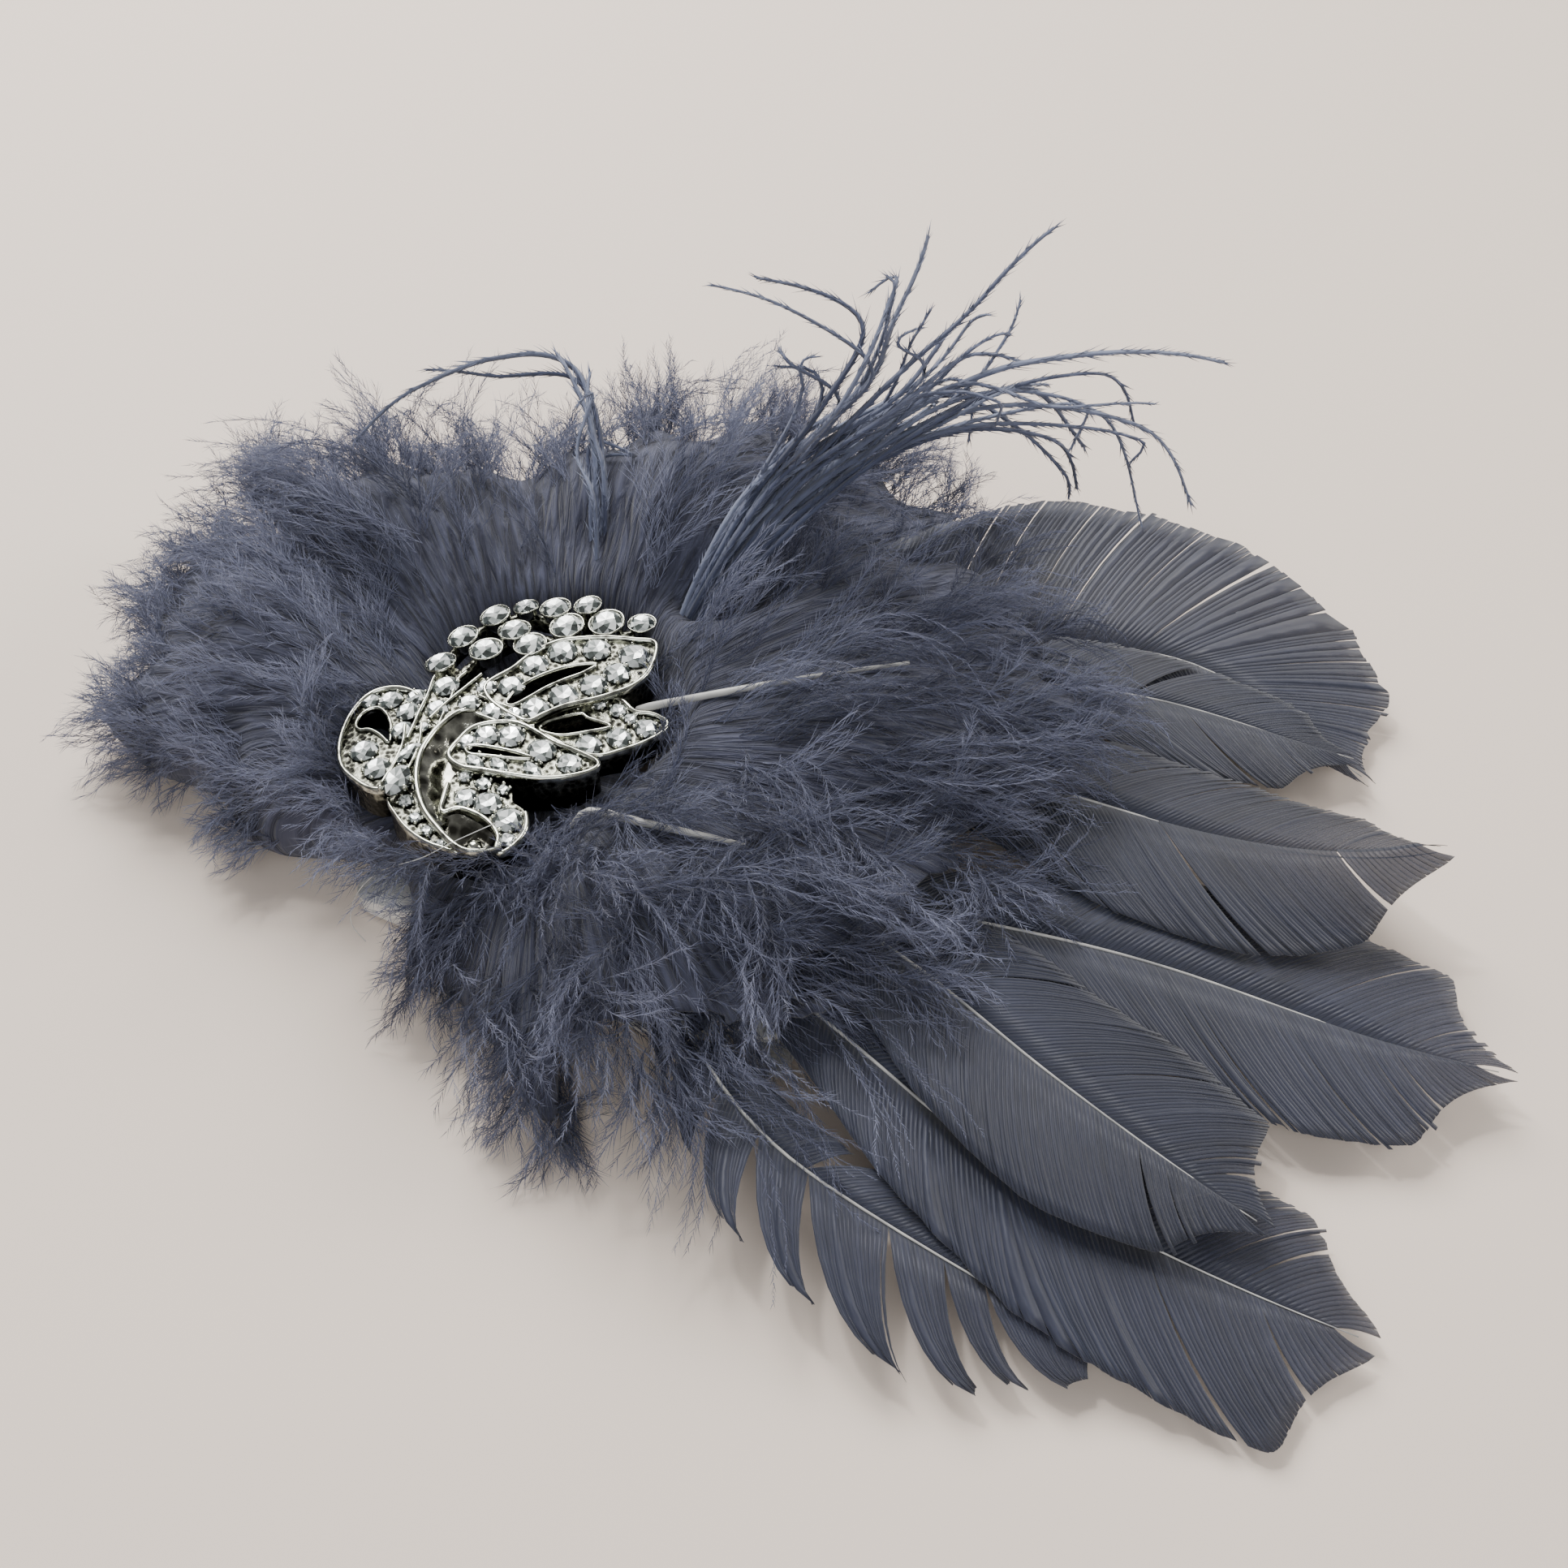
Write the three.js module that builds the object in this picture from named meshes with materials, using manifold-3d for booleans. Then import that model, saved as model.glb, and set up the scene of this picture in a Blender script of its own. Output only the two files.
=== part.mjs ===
// Feather hair clip: a crystal-set spray brooch on a fan of goose, marabou and ostrich feathers,
// carried by a sheet-metal hair clip. Millimetres, +Z up, +X along the clip from its tip.
import * as THREE from 'three';
import { mergeVertices } from 'three/addons/utils/BufferGeometryUtils.js';
import Module from 'manifold-3d';

const wasm = await Module();
wasm.setup();

// ---- driving sizes -------------------------------------------------------------------------
const clip_length = 54;          // sheet-metal clip, tip to lever end
const clip_width = 10;
const clip_height = 7.6;         // over the closed levers
const clip_sheet = 0.8;          // sheet thickness
const clip_corner = 2.6;         // plan radius of the tip corners
const clip_pivot_share = 0.64;   // pivot position along the clip, from the tip
const clip_spring_radius = 2.3;

const clearance = 0.3;           // gap between neighbouring pieces

const brooch_width = 34;         // along X
const brooch_height = 40;        // along Y
const brooch_x = -16.5;          // centre of the brooch over the clip
const brooch_y = 13.5;
const brooch_lift = 13.8;        // underside of the casting at its centre
const brooch_lean = 2.5;         // how much its upper end stands above its lower end
const casting_depth = 2.9;       // height of the casting's side walls
const dome_rise = 2.0;           // how much the middle stands above the edge
const rim_width = 0.5;
const rim_height = 0.55;
const pave_stone = 2.6;          // diameter of the small set stones
const crest_stone = 3.8;         // diameter of the stones in cups
const cup_wall = 0.3;
const cup_depth = 2.2;
const stone_seat_gap = 0.12;     // between a loose stone and its cup

const hub_x = -10;               // where all quills meet, under the brooch
const hub_y = 12;
const fan_reach = 105;           // hub to the furthest vane tip
const vane_width = 15;           // widest half of a goose vane
const vane_thickness = 0.6;
const shaft_diameter = 1.3;
const layer_step = 1.15;         // height between shingled vanes
const fan_lift = 8.1;            // underside of the lowest vane at the hub
const fan_drop = 7.6;            // how far the fan falls from the hub to its tips

const down_reach = 74;           // hub to the tip of the longest plume
const down_height = 24;          // crown of the fluff above the surface
const quill_diameter = 1.5;

const spray_reach = 70;          // head to the tip of the longest ostrich strand
const strand_diameter = 1.3;

// ---- solids --------------------------------------------------------------------------------
const TAU = Math.PI * 2;
const lerp = (a, b, t) => a + (b - a) * t;
const clamp01 = (t) => Math.min(1, Math.max(0, t));
const smooth = (t) => { const s = clamp01(t); return s * s * (3 - 2 * s); };
const rad = (d) => THREE.MathUtils.degToRad(d);
const V = (x, y, z) => new THREE.Vector3(x, y, z);

// value of a row of samples spread evenly over 0 to 1
function sample(row, t) {
  const f = clamp01(t) * (row.length - 1), i = Math.min(row.length - 2, Math.floor(f));
  return lerp(row[i], row[i + 1], smooth(f - i) * 0.5 + (f - i) * 0.5);
}

function solid(geometry) {
  const g = geometry.clone();
  g.deleteAttribute('normal');
  g.deleteAttribute('uv');
  const m = mergeVertices(g, 1e-5);
  return new wasm.Manifold(new wasm.Mesh({
    numProp: 3,
    vertProperties: new Float32Array(m.attributes.position.array),
    triVerts: new Uint32Array(m.index.array),
  }));
}

function geometryOf(manifold) {
  const mesh = manifold.getMesh();
  const g = new THREE.BufferGeometry();
  g.setAttribute('position', new THREE.BufferAttribute(new Float32Array(mesh.vertProperties), 3));
  g.setIndex(new THREE.BufferAttribute(new Uint32Array(mesh.triVerts), 1));
  return g;
}

// closed solid through rings of equal length, capped at both ends
function loft(rings) {
  const n = rings[0].length, pos = [], idx = [];
  for (const ring of rings) for (const p of ring) pos.push(p.x, p.y, p.z);
  for (let i = 0; i + 1 < rings.length; i++) {
    for (let j = 0; j < n; j++) {
      const a = i * n + j, b = i * n + (j + 1) % n, c = a + n, d = b + n;
      idx.push(a, b, d, a, d, c);
    }
  }
  const cap = (ring, base, flip) => {
    const mid = ring.reduce((s, p) => s.add(p), V(0, 0, 0)).divideScalar(n);
    pos.push(mid.x, mid.y, mid.z);
    const m = pos.length / 3 - 1;
    for (let j = 0; j < n; j++) {
      const a = base + j, b = base + (j + 1) % n;
      if (flip) idx.push(m, b, a); else idx.push(m, a, b);
    }
  };
  cap(rings[0], 0, true);
  cap(rings[rings.length - 1], (rings.length - 1) * n, false);
  const g = new THREE.BufferGeometry();
  g.setAttribute('position', new THREE.BufferAttribute(new Float32Array(pos), 3));
  g.setIndex(idx);
  const m = solid(g);
  return m.volume() < 0 ? solid(flipped(g)) : m;
}

function flipped(g) {
  const i = g.index.array.slice ? Array.from(g.index.array) : g.index;
  for (let k = 0; k < i.length; k += 3) { const t = i[k]; i[k] = i[k + 1]; i[k + 1] = t; }
  g.setIndex(i);
  return g;
}

// tapered tube with an upright section along a path
function lock(points, radii, sides, flat = 1, steps = points.length) {
  const curve = new THREE.CatmullRomCurve3(points, false, 'centripetal');
  const rings = [];
  for (let i = 0; i < steps; i++) {
    const t = i / (steps - 1), p = curve.getPoint(t), d = curve.getTangent(t);
    const side = V(-d.y, d.x, 0);
    if (side.lengthSq() < 1e-6) side.set(1, 0, 0);
    side.normalize();
    const up = V(0, 0, 0).crossVectors(d, side).normalize();
    const r = sample(radii, t);
    rings.push(Array.from({ length: sides }, (_, j) => {
      const a = (j + 0.5) / sides * TAU;
      return p.clone().addScaledVector(side, Math.cos(a) * r).addScaledVector(up, Math.sin(a) * r * flat);
    }));
  }
  return loft(rings);
}

const union = (list) => wasm.Manifold.union(list);
// the largest body of a cut solid, with edges shorter than fine merged away
function mainBody(m, fine) {
  const largest = (s) => s.decompose().sort((a, b) => b.volume() - a.volume())[0];
  return largest(largest(m).simplify(fine));
}

const group = new THREE.Group();
function add(name, manifold, colour, roughness, metalness) {
  const mesh = new THREE.Mesh(geometryOf(manifold),
    new THREE.MeshStandardMaterial({ color: colour, roughness, metalness }));
  mesh.name = name;
  group.add(mesh);
}

// ---- clip ----------------------------------------------------------------------------------
// closed jaws and levers in one folded sheet, hollow between, with the spring barrel at the pivot
function clipSolid(grow = 0) {
  const x0 = -clip_length / 2 - grow, x1 = clip_length / 2 + grow;
  const pivot = lerp(-clip_length / 2, clip_length / 2, clip_pivot_share);
  const top = clip_height + grow, s = clip_sheet, tip = 2 * s + grow;
  const side = new THREE.Shape();
  side.moveTo(x0, -grow);
  side.lineTo(x1, -grow);
  side.lineTo(x1, s + grow);
  if (grow > 0) {
    side.lineTo(x1, top);
  } else {
    side.lineTo(pivot + clip_spring_radius, s);
    side.lineTo(pivot + clip_spring_radius, top - s);
    side.lineTo(x1, top - s);
    side.lineTo(x1, top);
  }
  side.lineTo(pivot, top);
  side.lineTo(x0, tip);
  side.closePath();
  if (grow === 0) {
    const hollow = new THREE.Path();
    hollow.moveTo(x0 + clip_length * 0.2, s);
    hollow.lineTo(pivot - clip_spring_radius, top - s - 1.0);
    hollow.lineTo(pivot - clip_spring_radius, s);
    hollow.closePath();
    side.holes.push(hollow);
  }
  const w = clip_width + 2 * grow;
  const body = new THREE.ExtrudeGeometry(side, { depth: w, bevelEnabled: false });
  body.rotateX(Math.PI / 2);
  body.translate(0, w / 2, 0);
  const r = clip_corner, h = w / 2;
  const plan = new THREE.Shape();
  plan.moveTo(x0 + r, -h);
  plan.lineTo(x1 - r, -h);
  plan.absarc(x1 - r, -h + r, r, -Math.PI / 2, 0, false);
  plan.lineTo(x1, h - r);
  plan.absarc(x1 - r, h - r, r, 0, Math.PI / 2, false);
  plan.lineTo(x0 + r, h);
  plan.absarc(x0 + r, h - r, r, Math.PI / 2, Math.PI, false);
  plan.lineTo(x0, -h + r);
  plan.absarc(x0 + r, -h + r, r, Math.PI, Math.PI * 1.5, false);
  const cut = new THREE.ExtrudeGeometry(plan, { depth: clip_height * 3, bevelEnabled: false, curveSegments: 3 });
  cut.translate(0, 0, -clip_height);
  return solid(body).intersect(solid(cut));
}

// ---- brooch --------------------------------------------------------------------------------
// every band of the casting follows a curve through the brooch, given as shares of its width and
// height from its centre; wide is the band's width in small stones, rise lifts it on the dome
const bands = [
  { name: 'leaf_back_upper', wide: 1.25, rise: 0.5, rim: 1, at: [[-0.02, -0.03], [-0.035, 0.09], [-0.026, 0.19], [0.013, 0.275], [0.111, 0.325], [0.245, 0.375]] },
  { name: 'leaf_back_lower', wide: 1.25, rise: 0.5, rim: 1, at: [[0.01, -0.05], [0.09, 0.05], [0.136, 0.133], [0.189, 0.202], [0.24, 0.285], [0.235, 0.37]] },
  { name: 'leaf_right_upper', wide: 0.95, rise: -0.35, rim: 1, at: [[0.1, 0.06], [0.171, 0.147], [0.256, 0.186], [0.352, 0.195], [0.462, 0.2]] },
  { name: 'leaf_right_lower', wide: 1.1, rise: -0.35, rim: 1, at: [[0.16, -0.02], [0.307, 0.026], [0.371, 0.091], [0.417, 0.15], [0.462, 0.19]] },
  { name: 'leaf_front_upper', wide: 1.15, rise: 0.75, rim: 1, at: [[-0.075, -0.15], [-0.05, -0.115], [-0.007, -0.075], [0.07, -0.045], [0.185, -0.042], [0.275, -0.045], [0.36, -0.032]] },
  { name: 'leaf_front_lower', wide: 0.8, rise: 0.75, rim: 1, at: [[-0.06, -0.2], [0.03, -0.178], [0.097, -0.158], [0.214, -0.125], [0.298, -0.09], [0.36, -0.04]] },
  { name: 'ridge', wide: 0.36, rise: 1.0, rim: 0, at: [[-0.1, 0.01], [-0.158, -0.136], [-0.127, -0.253], [-0.042, -0.341], [0.059, -0.407], [0.2, -0.462]] },
  { name: 'band_left', wide: 1.1, rise: 0.1, rim: 0, at: [[-0.235, 0.15], [-0.262, 0.085], [-0.255, 0.04], [-0.215, -0.047], [-0.19, -0.138]] },
  { name: 'band_middle', wide: 1.15, rise: 0.3, rim: 0, at: [[-0.172, -0.1], [-0.147, 0.017], [-0.14, 0.077], [-0.11, 0.15]] },
  { name: 'heart', wide: 1.35, rise: 0.4, rim: 0, at: [[-0.15, -0.05], [-0.051, 0.01], [0.031, 0.0], [0.15, 0.01]] },
  { name: 'loop_rim', wide: 0.42, rise: -0.2, rim: 0, at: [[-0.34, -0.04], [-0.435, -0.098], [-0.447, -0.189], [-0.4, -0.289], [-0.337, -0.348], [-0.23, -0.385], [-0.1, -0.4]] },
  { name: 'loop_plate', wide: 1.5, rise: -0.3, rim: 0, at: [[-0.4, -0.27], [-0.314, -0.279], [-0.221, -0.325], [-0.1, -0.35]] },
  { name: 'band_loop', wide: 0.95, rise: 0.05, rim: 0, at: [[-0.387, -0.06], [-0.298, -0.095], [-0.257, -0.169], [-0.185, -0.24], [-0.13, -0.32]] },
  { name: 'band_inner', wide: 0.75, rise: 0.2, rim: 0, at: [[-0.309, -0.025], [-0.256, -0.07], [-0.211, -0.136], [-0.153, -0.24]] },
  { name: 'crescent', wide: 0.85, rise: 0.0, rim: 0, at: [[-0.12, -0.36], [-0.02, -0.405], [0.065, -0.438], [0.19, -0.472]] },
  { name: 'scroll', wide: 1.15, rise: 0.2, rim: 1, at: [[0.02, -0.2], [0.096, -0.3], [0.169, -0.291], [0.263, -0.315], [0.315, -0.37], [0.28, -0.44]] },
  { name: 'scroll_hook', wide: 0.42, rise: -0.1, rim: 0, at: [[0.19, -0.472], [0.275, -0.455], [0.335, -0.414], [0.345, -0.33], [0.3, -0.262], [0.2, -0.215], [0.1, -0.2]] },
  { name: 'scoop', wide: 1.5, rise: -0.45, rim: 0, at: [[-0.13, -0.1], [-0.096, -0.2], [-0.03, -0.285], [0.07, -0.33]] },
  { name: 'crest_back', wide: 0.9, rise: -1.3, rim: 0, at: [[-0.31, 0.1], [-0.3, 0.22], [-0.2, 0.36], [-0.03, 0.43], [0.18, 0.45]] },
];
// small stones set in the bands: share across, share up, size as a share of pave_stone
const pave = [
  { at: [[-0.035, 0.09], [-0.024, 0.19], [0.015, 0.275], [0.108, 0.325], [0.212, 0.355]], size: 1.0 },
  { at: [[0.08, 0.035], [0.136, 0.128], [0.189, 0.205], [0.236, 0.28]], size: 1.0 },
  { at: [[0.3, 0.03], [0.367, 0.098], [0.42, 0.165]], size: 0.9 },
  { at: [[-0.05, -0.118], [0.0, -0.078], [0.07, -0.045], [0.168, -0.04], [0.262, -0.05]], size: 1.0 },
  { at: [[0.03, -0.178], [0.1, -0.157], [0.19, -0.132]], size: 0.62 },
  { at: [[-0.262, 0.065], [-0.225, -0.035]], size: 1.0 },
  { at: [[-0.147, 0.01], [-0.137, 0.085]], size: 0.9 },
  { at: [[-0.06, 0.0], [0.0, -0.01]], size: 0.95 },
  { at: [[-0.387, -0.06], [-0.29, -0.1], [-0.252, -0.175]], size: 0.85 },
  { at: [[-0.34, -0.268], [-0.245, -0.315]], size: 1.0 },
  { at: [[0.1, -0.297], [0.18, -0.292], [0.268, -0.33]], size: 0.95 },
];
// stones in cups: share across, share up, size as a share of crest_stone
const crest = [
  [-0.324, 0.093, 0.88], [-0.328, 0.21, 0.88], [-0.287, 0.322, 0.88], [-0.212, 0.388, 0.72],
  [-0.115, 0.418, 0.88], [-0.022, 0.468, 0.8], [0.08, 0.43, 1.0], [0.185, 0.477, 0.8],
  [-0.215, 0.187, 0.94], [-0.18, 0.288, 0.92], [-0.03, 0.366, 0.96], [-0.092, 0.255, 0.92],
];
const drop = { at: [-0.125, -0.345], size: 1.5 };

const bx = (u) => brooch_x + u * brooch_width;
const by = (v) => brooch_y + v * brooch_height;
// the casting leans: height of its tilted base plane over brooch_lift
const lean = (y) => brooch_lean * (y - brooch_y) / brooch_height;
// height of the casting's top over its edge, a shallow dome on the leaning base
const dome = (x, y) => {
  const u = (x - brooch_x) / brooch_width, v = (y - brooch_y) / brooch_height;
  return dome_rise * (1 - 3.4 * u * u - 0.6 * v * v) + lean(y);
};
function domeNormal(x, y) {
  const e = 0.5;
  return V((dome(x - e, y) - dome(x + e, y)) / (2 * e), (dome(x, y - e) - dome(x, y + e)) / (2 * e), 1).normalize();
}

function bandSolid(row, grow = 0) {
  const curve = new THREE.CatmullRomCurve3(row.at.map(([u, v]) => V(bx(u), by(v), 0)), false, 'centripetal');
  const steps = Math.max(4, Math.round(curve.getLength() / 4.2));
  const half = row.wide * pave_stone / 2 + (row.rim ? rim_width * 0.6 : 0) + grow;
  const rings = [];
  for (let i = 0; i <= steps; i++) {
    const t = i / steps, p = curve.getPointAt(t), d = curve.getTangentAt(t), n = V(-d.y, d.x, 0);
    const taper = Math.min(1, 0.55 + 1.8 * Math.min(t, 1 - t) * (steps / 4));
    const w = half * lerp(taper, 1, row.rim ? 0 : 0.6);
    const base = brooch_lift + lean(p.y) - rim_width - bands.indexOf(row) * rim_width / 10;
    const top = brooch_lift + casting_depth + dome(p.x, p.y) + row.rise + grow;
    const floor = row.rim ? top - rim_height : top;
    const at = (s, z) => p.clone().addScaledVector(n, s).setZ(z);
    rings.push(grow > 0 || !row.rim
      ? [at(-w, base), at(w, base), at(w, top), at(-w, top)]
      : [at(-w, base), at(w, base), at(w, top), at(w - rim_width, top), at(w - rim_width, floor),
        at(-w + rim_width, floor), at(-w + rim_width, top), at(-w, top)]);
  }
  return loft(rings);
}

// round brilliant: table and eight crown facets over a girdle; depth is that of the cone below it,
// and a set stone, of depth 0, ends just under the metal
function stoneSolid(diameter, x, y, z, normal, sides, depth, grow = 0) {
  const r = diameter / 2 + grow;
  const profile = depth > 0
    ? [[0, -depth - grow], [r, 0], [r * 0.58, r * 0.42 + grow], [0, r * 0.42 + grow]]
    : [[0, -0.25], [r, -0.25], [r * 0.58, r * 0.42], [0, r * 0.42]];
  const g = new THREE.LatheGeometry(profile.map(([a, b]) => new THREE.Vector2(a, b)), sides);
  g.rotateX(Math.PI / 2);
  const q = new THREE.Quaternion().setFromUnitVectors(V(0, 0, 1), normal);
  g.applyQuaternion(q);
  g.translate(x, y, z);
  const m = solid(g);
  return m.volume() < 0 ? solid(flipped(mergeVertices(bare(g), 1e-5))) : m;
}
function bare(g) { const c = g.clone(); c.deleteAttribute('normal'); c.deleteAttribute('uv'); return c; }

function bandTop(x, y) {
  let best = null, near = Infinity;
  for (const row of bands) {
    const curve = new THREE.CatmullRomCurve3(row.at.map(([u, v]) => V(bx(u), by(v), 0)), false, 'centripetal');
    for (let i = 0; i <= 24; i++) {
      const d = curve.getPointAt(i / 24).distanceTo(V(x, y, 0)) - row.wide;
      if (d < near) { near = d; best = row; }
    }
  }
  return brooch_lift + casting_depth + dome(x, y) + best.rise - (best.rim ? rim_height : 0);
}

const crestNormal = (x, y) => domeNormal(x, y).add(V(-0.12, 0.05, 0)).normalize();
const seats = crest.map(([u, v, k]) => {
  const x = bx(u), y = by(v);
  return { x, y, z: brooch_lift + casting_depth + dome(x, y) + 0.35, normal: crestNormal(x, y), size: k * crest_stone };
});
seats.push({ x: bx(drop.at[0]), y: by(drop.at[1]), z: brooch_lift + casting_depth + dome(bx(drop.at[0]), by(drop.at[1])) + 0.9,
  normal: domeNormal(bx(drop.at[0]), by(drop.at[1])), size: pave_stone * drop.size });

// round cup, hollowed for its stone
function cupSolid(seat) {
  const inner = seat.size / 2 + stone_seat_gap * 1.5, r = inner + cup_wall, deep = seat.size * 0.36 + stone_seat_gap * 2;
  const g = new THREE.LatheGeometry([[0, -cup_depth], [r * 0.78, -cup_depth], [r, 0.15], [inner, 0.15], [0, -deep]]
    .map(([a, b]) => new THREE.Vector2(a, b)), 8);
  g.rotateX(Math.PI / 2);
  g.applyQuaternion(new THREE.Quaternion().setFromUnitVectors(V(0, 0, 1), seat.normal));
  g.translate(seat.x, seat.y, seat.z);
  const m = solid(g);
  return m.volume() < 0 ? solid(flipped(mergeVertices(bare(g), 1e-5))) : m;
}
const seatStone = (seat, grow = 0) => stoneSolid(seat.size, seat.x, seat.y, seat.z, seat.normal, 8, seat.size * 0.36, grow);

function broochSolid() {
  const parts = bands.map((row) => bandSolid(row));
  for (const row of pave) {
    for (const [u, v] of row.at) {
      const x = bx(u), y = by(v);
      parts.push(stoneSolid(pave_stone * row.size, x, y, bandTop(x, y), domeNormal(x, y), 8, 0));
    }
  }
  for (const seat of seats) parts.push(cupSolid(seat));
  const bead = new THREE.SphereGeometry(1.7, 8, 6);
  bead.translate(bx(0.25), by(-0.42), brooch_lift + casting_depth + dome(bx(0.25), by(-0.42)) * 0.8 - 0.6);
  parts.push(solid(bead));
  const cast = union(parts).subtract(union(seats.map((s) => seatStone(s, stone_seat_gap))));
  const s = brooch_lean / brooch_height, n = V(0, -s, 1);
  return mainBody(cast.trimByPlane(n.clone().normalize().toArray(), (brooch_lift - s * brooch_y) / n.length()), 0.08);
}

// ---- goose feathers ------------------------------------------------------------------------
// root, middle and tip are shares of fan_reach from the hub; left and right are half vane widths
// as shares of vane_width along the shaft; splits are notches (share along, side, depth);
// layer is the place in the stack, curl the lift of the tip as a share of fan_drop
const goose = [
  { name: 'goose_feather_1', layer: 1, curl: 0.1, root: [0.045, 0.085], bend: [[0.24, 0.39], [0.5, 0.585]], tip: [0.755, 0.5],
    left: [0.04, 0.04, 0.55, 0.95, 1.0, 0.75, 0.05], right: [0.04, 0.04, 0.5, 0.75, 0.7, 0.45, 0.05], splits: [[0.6, 1, 0.5], [0.8, 1, 0.45], [0.72, -1, 0.5]] },
  { name: 'goose_feather_2', layer: 2, curl: 0.15, root: [0.07, 0.06], bend: [[0.26, 0.32], [0.5, 0.475]], tip: [0.74, 0.515],
    left: [0.04, 0.04, 0.5, 0.7, 0.65, 0.5, 0.05], right: [0.04, 0.04, 0.5, 0.8, 0.8, 0.6, 0.05], splits: [[0.66, -1, 0.55], [0.84, 1, 0.5]] },
  { name: 'goose_feather_3', layer: 3, curl: 1.15, root: [0.085, 0.035], bend: [[0.3, 0.2], [0.62, 0.28]], tip: [0.86, 0.34],
    left: [0.04, 0.04, 0.5, 0.8, 0.75, 0.6, 0.08], right: [0.04, 0.04, 0.6, 0.95, 0.95, 0.7, 0.1], splits: [[0.78, 1, 0.5], [0.6, -1, 0.4]] },
  { name: 'goose_feather_4', layer: 2, curl: 0.25, root: [0.09, 0.005], bend: [[0.36, 0.02], [0.68, 0.11]], tip: [0.985, 0.155],
    left: [0.04, 0.04, 0.5, 0.85, 1.0, 0.85, 0.1], right: [0.04, 0.04, 0.5, 0.8, 0.95, 0.75, 0.08], splits: [[0.7, -1, 0.35]] },
  { name: 'goose_feather_5', layer: 3, curl: 0.1, root: [0.085, -0.03], bend: [[0.34, -0.02], [0.6, -0.085]], tip: [0.83, -0.125],
    left: [0.04, 0.04, 0.5, 0.75, 0.85, 0.75, 0.15], right: [0.04, 0.04, 0.45, 0.75, 0.8, 0.6, 0.12], splits: [[0.55, -1, 0.3]] },
  { name: 'goose_feather_6', layer: 1, curl: 0.0, root: [0.065, -0.06], bend: [[0.3, -0.1], [0.6, -0.18]], tip: [0.945, -0.165],
    left: [0.04, 0.04, 0.45, 0.7, 0.8, 0.75, 0.25], right: [0.04, 0.04, 0.35, 0.6, 0.85, 0.95, 0.3], splits: [[0.62, -1, 0.6], [0.72, -1, 0.45]] },
  { name: 'goose_feather_7', layer: 0, curl: 0.0, root: [0.055, -0.068], bend: [[0.22, -0.155], [0.43, -0.27]], tip: [0.8, -0.285],
    left: [0.04, 0.04, 0.2, 0.32, 0.3, 0.2, 0.04], right: [0.04, 0.04, 0.3, 0.6, 0.75, 0.4, 0.05], splits: [[0.42, -1, 0.75], [0.55, -1, 0.8], [0.68, -1, 0.8], [0.5, 1, 0.6]] },
];
// underside of the fan over the surface at a plan distance from the hub
const fanHeight = (x, y) => fan_lift - fan_drop * smooth((Math.hypot(x - hub_x, y - hub_y) / fan_reach - 0.42) / 0.55);

function gooseSolid(row) {
  const pts = [row.root, ...row.bend, row.tip].map(([u, v]) => V(hub_x + u * fan_reach, hub_y + v * fan_reach, 0));
  const curve = new THREE.CatmullRomCurve3(pts, false, 'centripetal');
  const stations = [0, 0.1, 0.2, 0.3, 0.4, 0.5, 0.6, 0.7, 0.8, 0.88, 0.95, 1];
  for (const [t] of row.splits) for (const d of [-0.022, 0, 0.022]) stations.push(t + d);
  stations.sort((a, b) => a - b);
  const rings = [];
  for (const t of stations.filter((s, i) => i === 0 || s - stations[i - 1] > 0.012)) {
    const p = curve.getPointAt(t), d = curve.getTangentAt(t), n = V(-d.y, d.x, 0);
    const barb = 0.75 * smooth((t - 0.15) / 0.2) * (1 - 0.75 * smooth((t - 0.8) / 0.2));
    const notch = (side) => row.splits.reduce((k, [s, w, deep]) =>
      (w === side && Math.abs(s - t) < 0.012 ? Math.min(k, 1 - deep) : k), 1);
    const halves = [sample(row.left, t) * notch(1), sample(row.right, t) * notch(-1)]
      .map((w) => Math.max(w * vane_width, shaft_diameter * 0.45));
    const z0 = (x, y) => fanHeight(x, y) + row.layer * layer_step + row.curl * fan_drop * Math.pow(t, 7);
    const at = (side, w, up) => {
      const q = p.clone().addScaledVector(n, side * w).addScaledVector(d, w * barb);
      return q.setZ(z0(q.x, q.y) + up);
    };
    const [l, r] = halves, s = shaft_diameter / 2 * lerp(1, 0.35, t), th = vane_thickness;
    const sl = Math.min(s, l * 0.6), sr = Math.min(s, r * 0.6);
    rings.push([at(1, l, 0), at(1, l * 0.55, 0), at(1, 0, 0), at(-1, r * 0.55, 0), at(-1, r, 0),
      at(-1, r, th), at(-1, sr, th), at(-1, sr * 0.4, th + s * 0.7), at(1, sl * 0.4, th + s * 0.7), at(1, sl, th), at(1, l, th)]);
  }
  return loft(rings);
}

// the wedge of space that the shingled fan takes, under the fluff: layers stacked at each heading
const stacked = [1, 2, 3, 3, 3, 3, 2];
function fanEnvelope() {
  const rings = [], steps = 6, arcs = 12, a0 = rad(-54), a1 = rad(78);
  for (let i = 0; i <= steps; i++) {
    const r = lerp(1.5, fan_reach * 1.2, i / steps), ring = [];
    for (let j = 0; j <= arcs; j++) {
      const a = lerp(a0, a1, j / arcs), x = hub_x + Math.cos(a) * r, y = hub_y + Math.sin(a) * r;
      const top = layer_step * (sample(stacked, j / arcs) + 0.2) + vane_thickness + shaft_diameter * 0.4 + clearance;
      ring.push(V(x, y, fanHeight(x, y) + top));
    }
    for (let j = arcs; j >= 0; j--) ring.push(V(ring[j].x, ring[j].y, -down_height));
    rings.push(ring);
  }
  return loft(rings);
}

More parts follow.
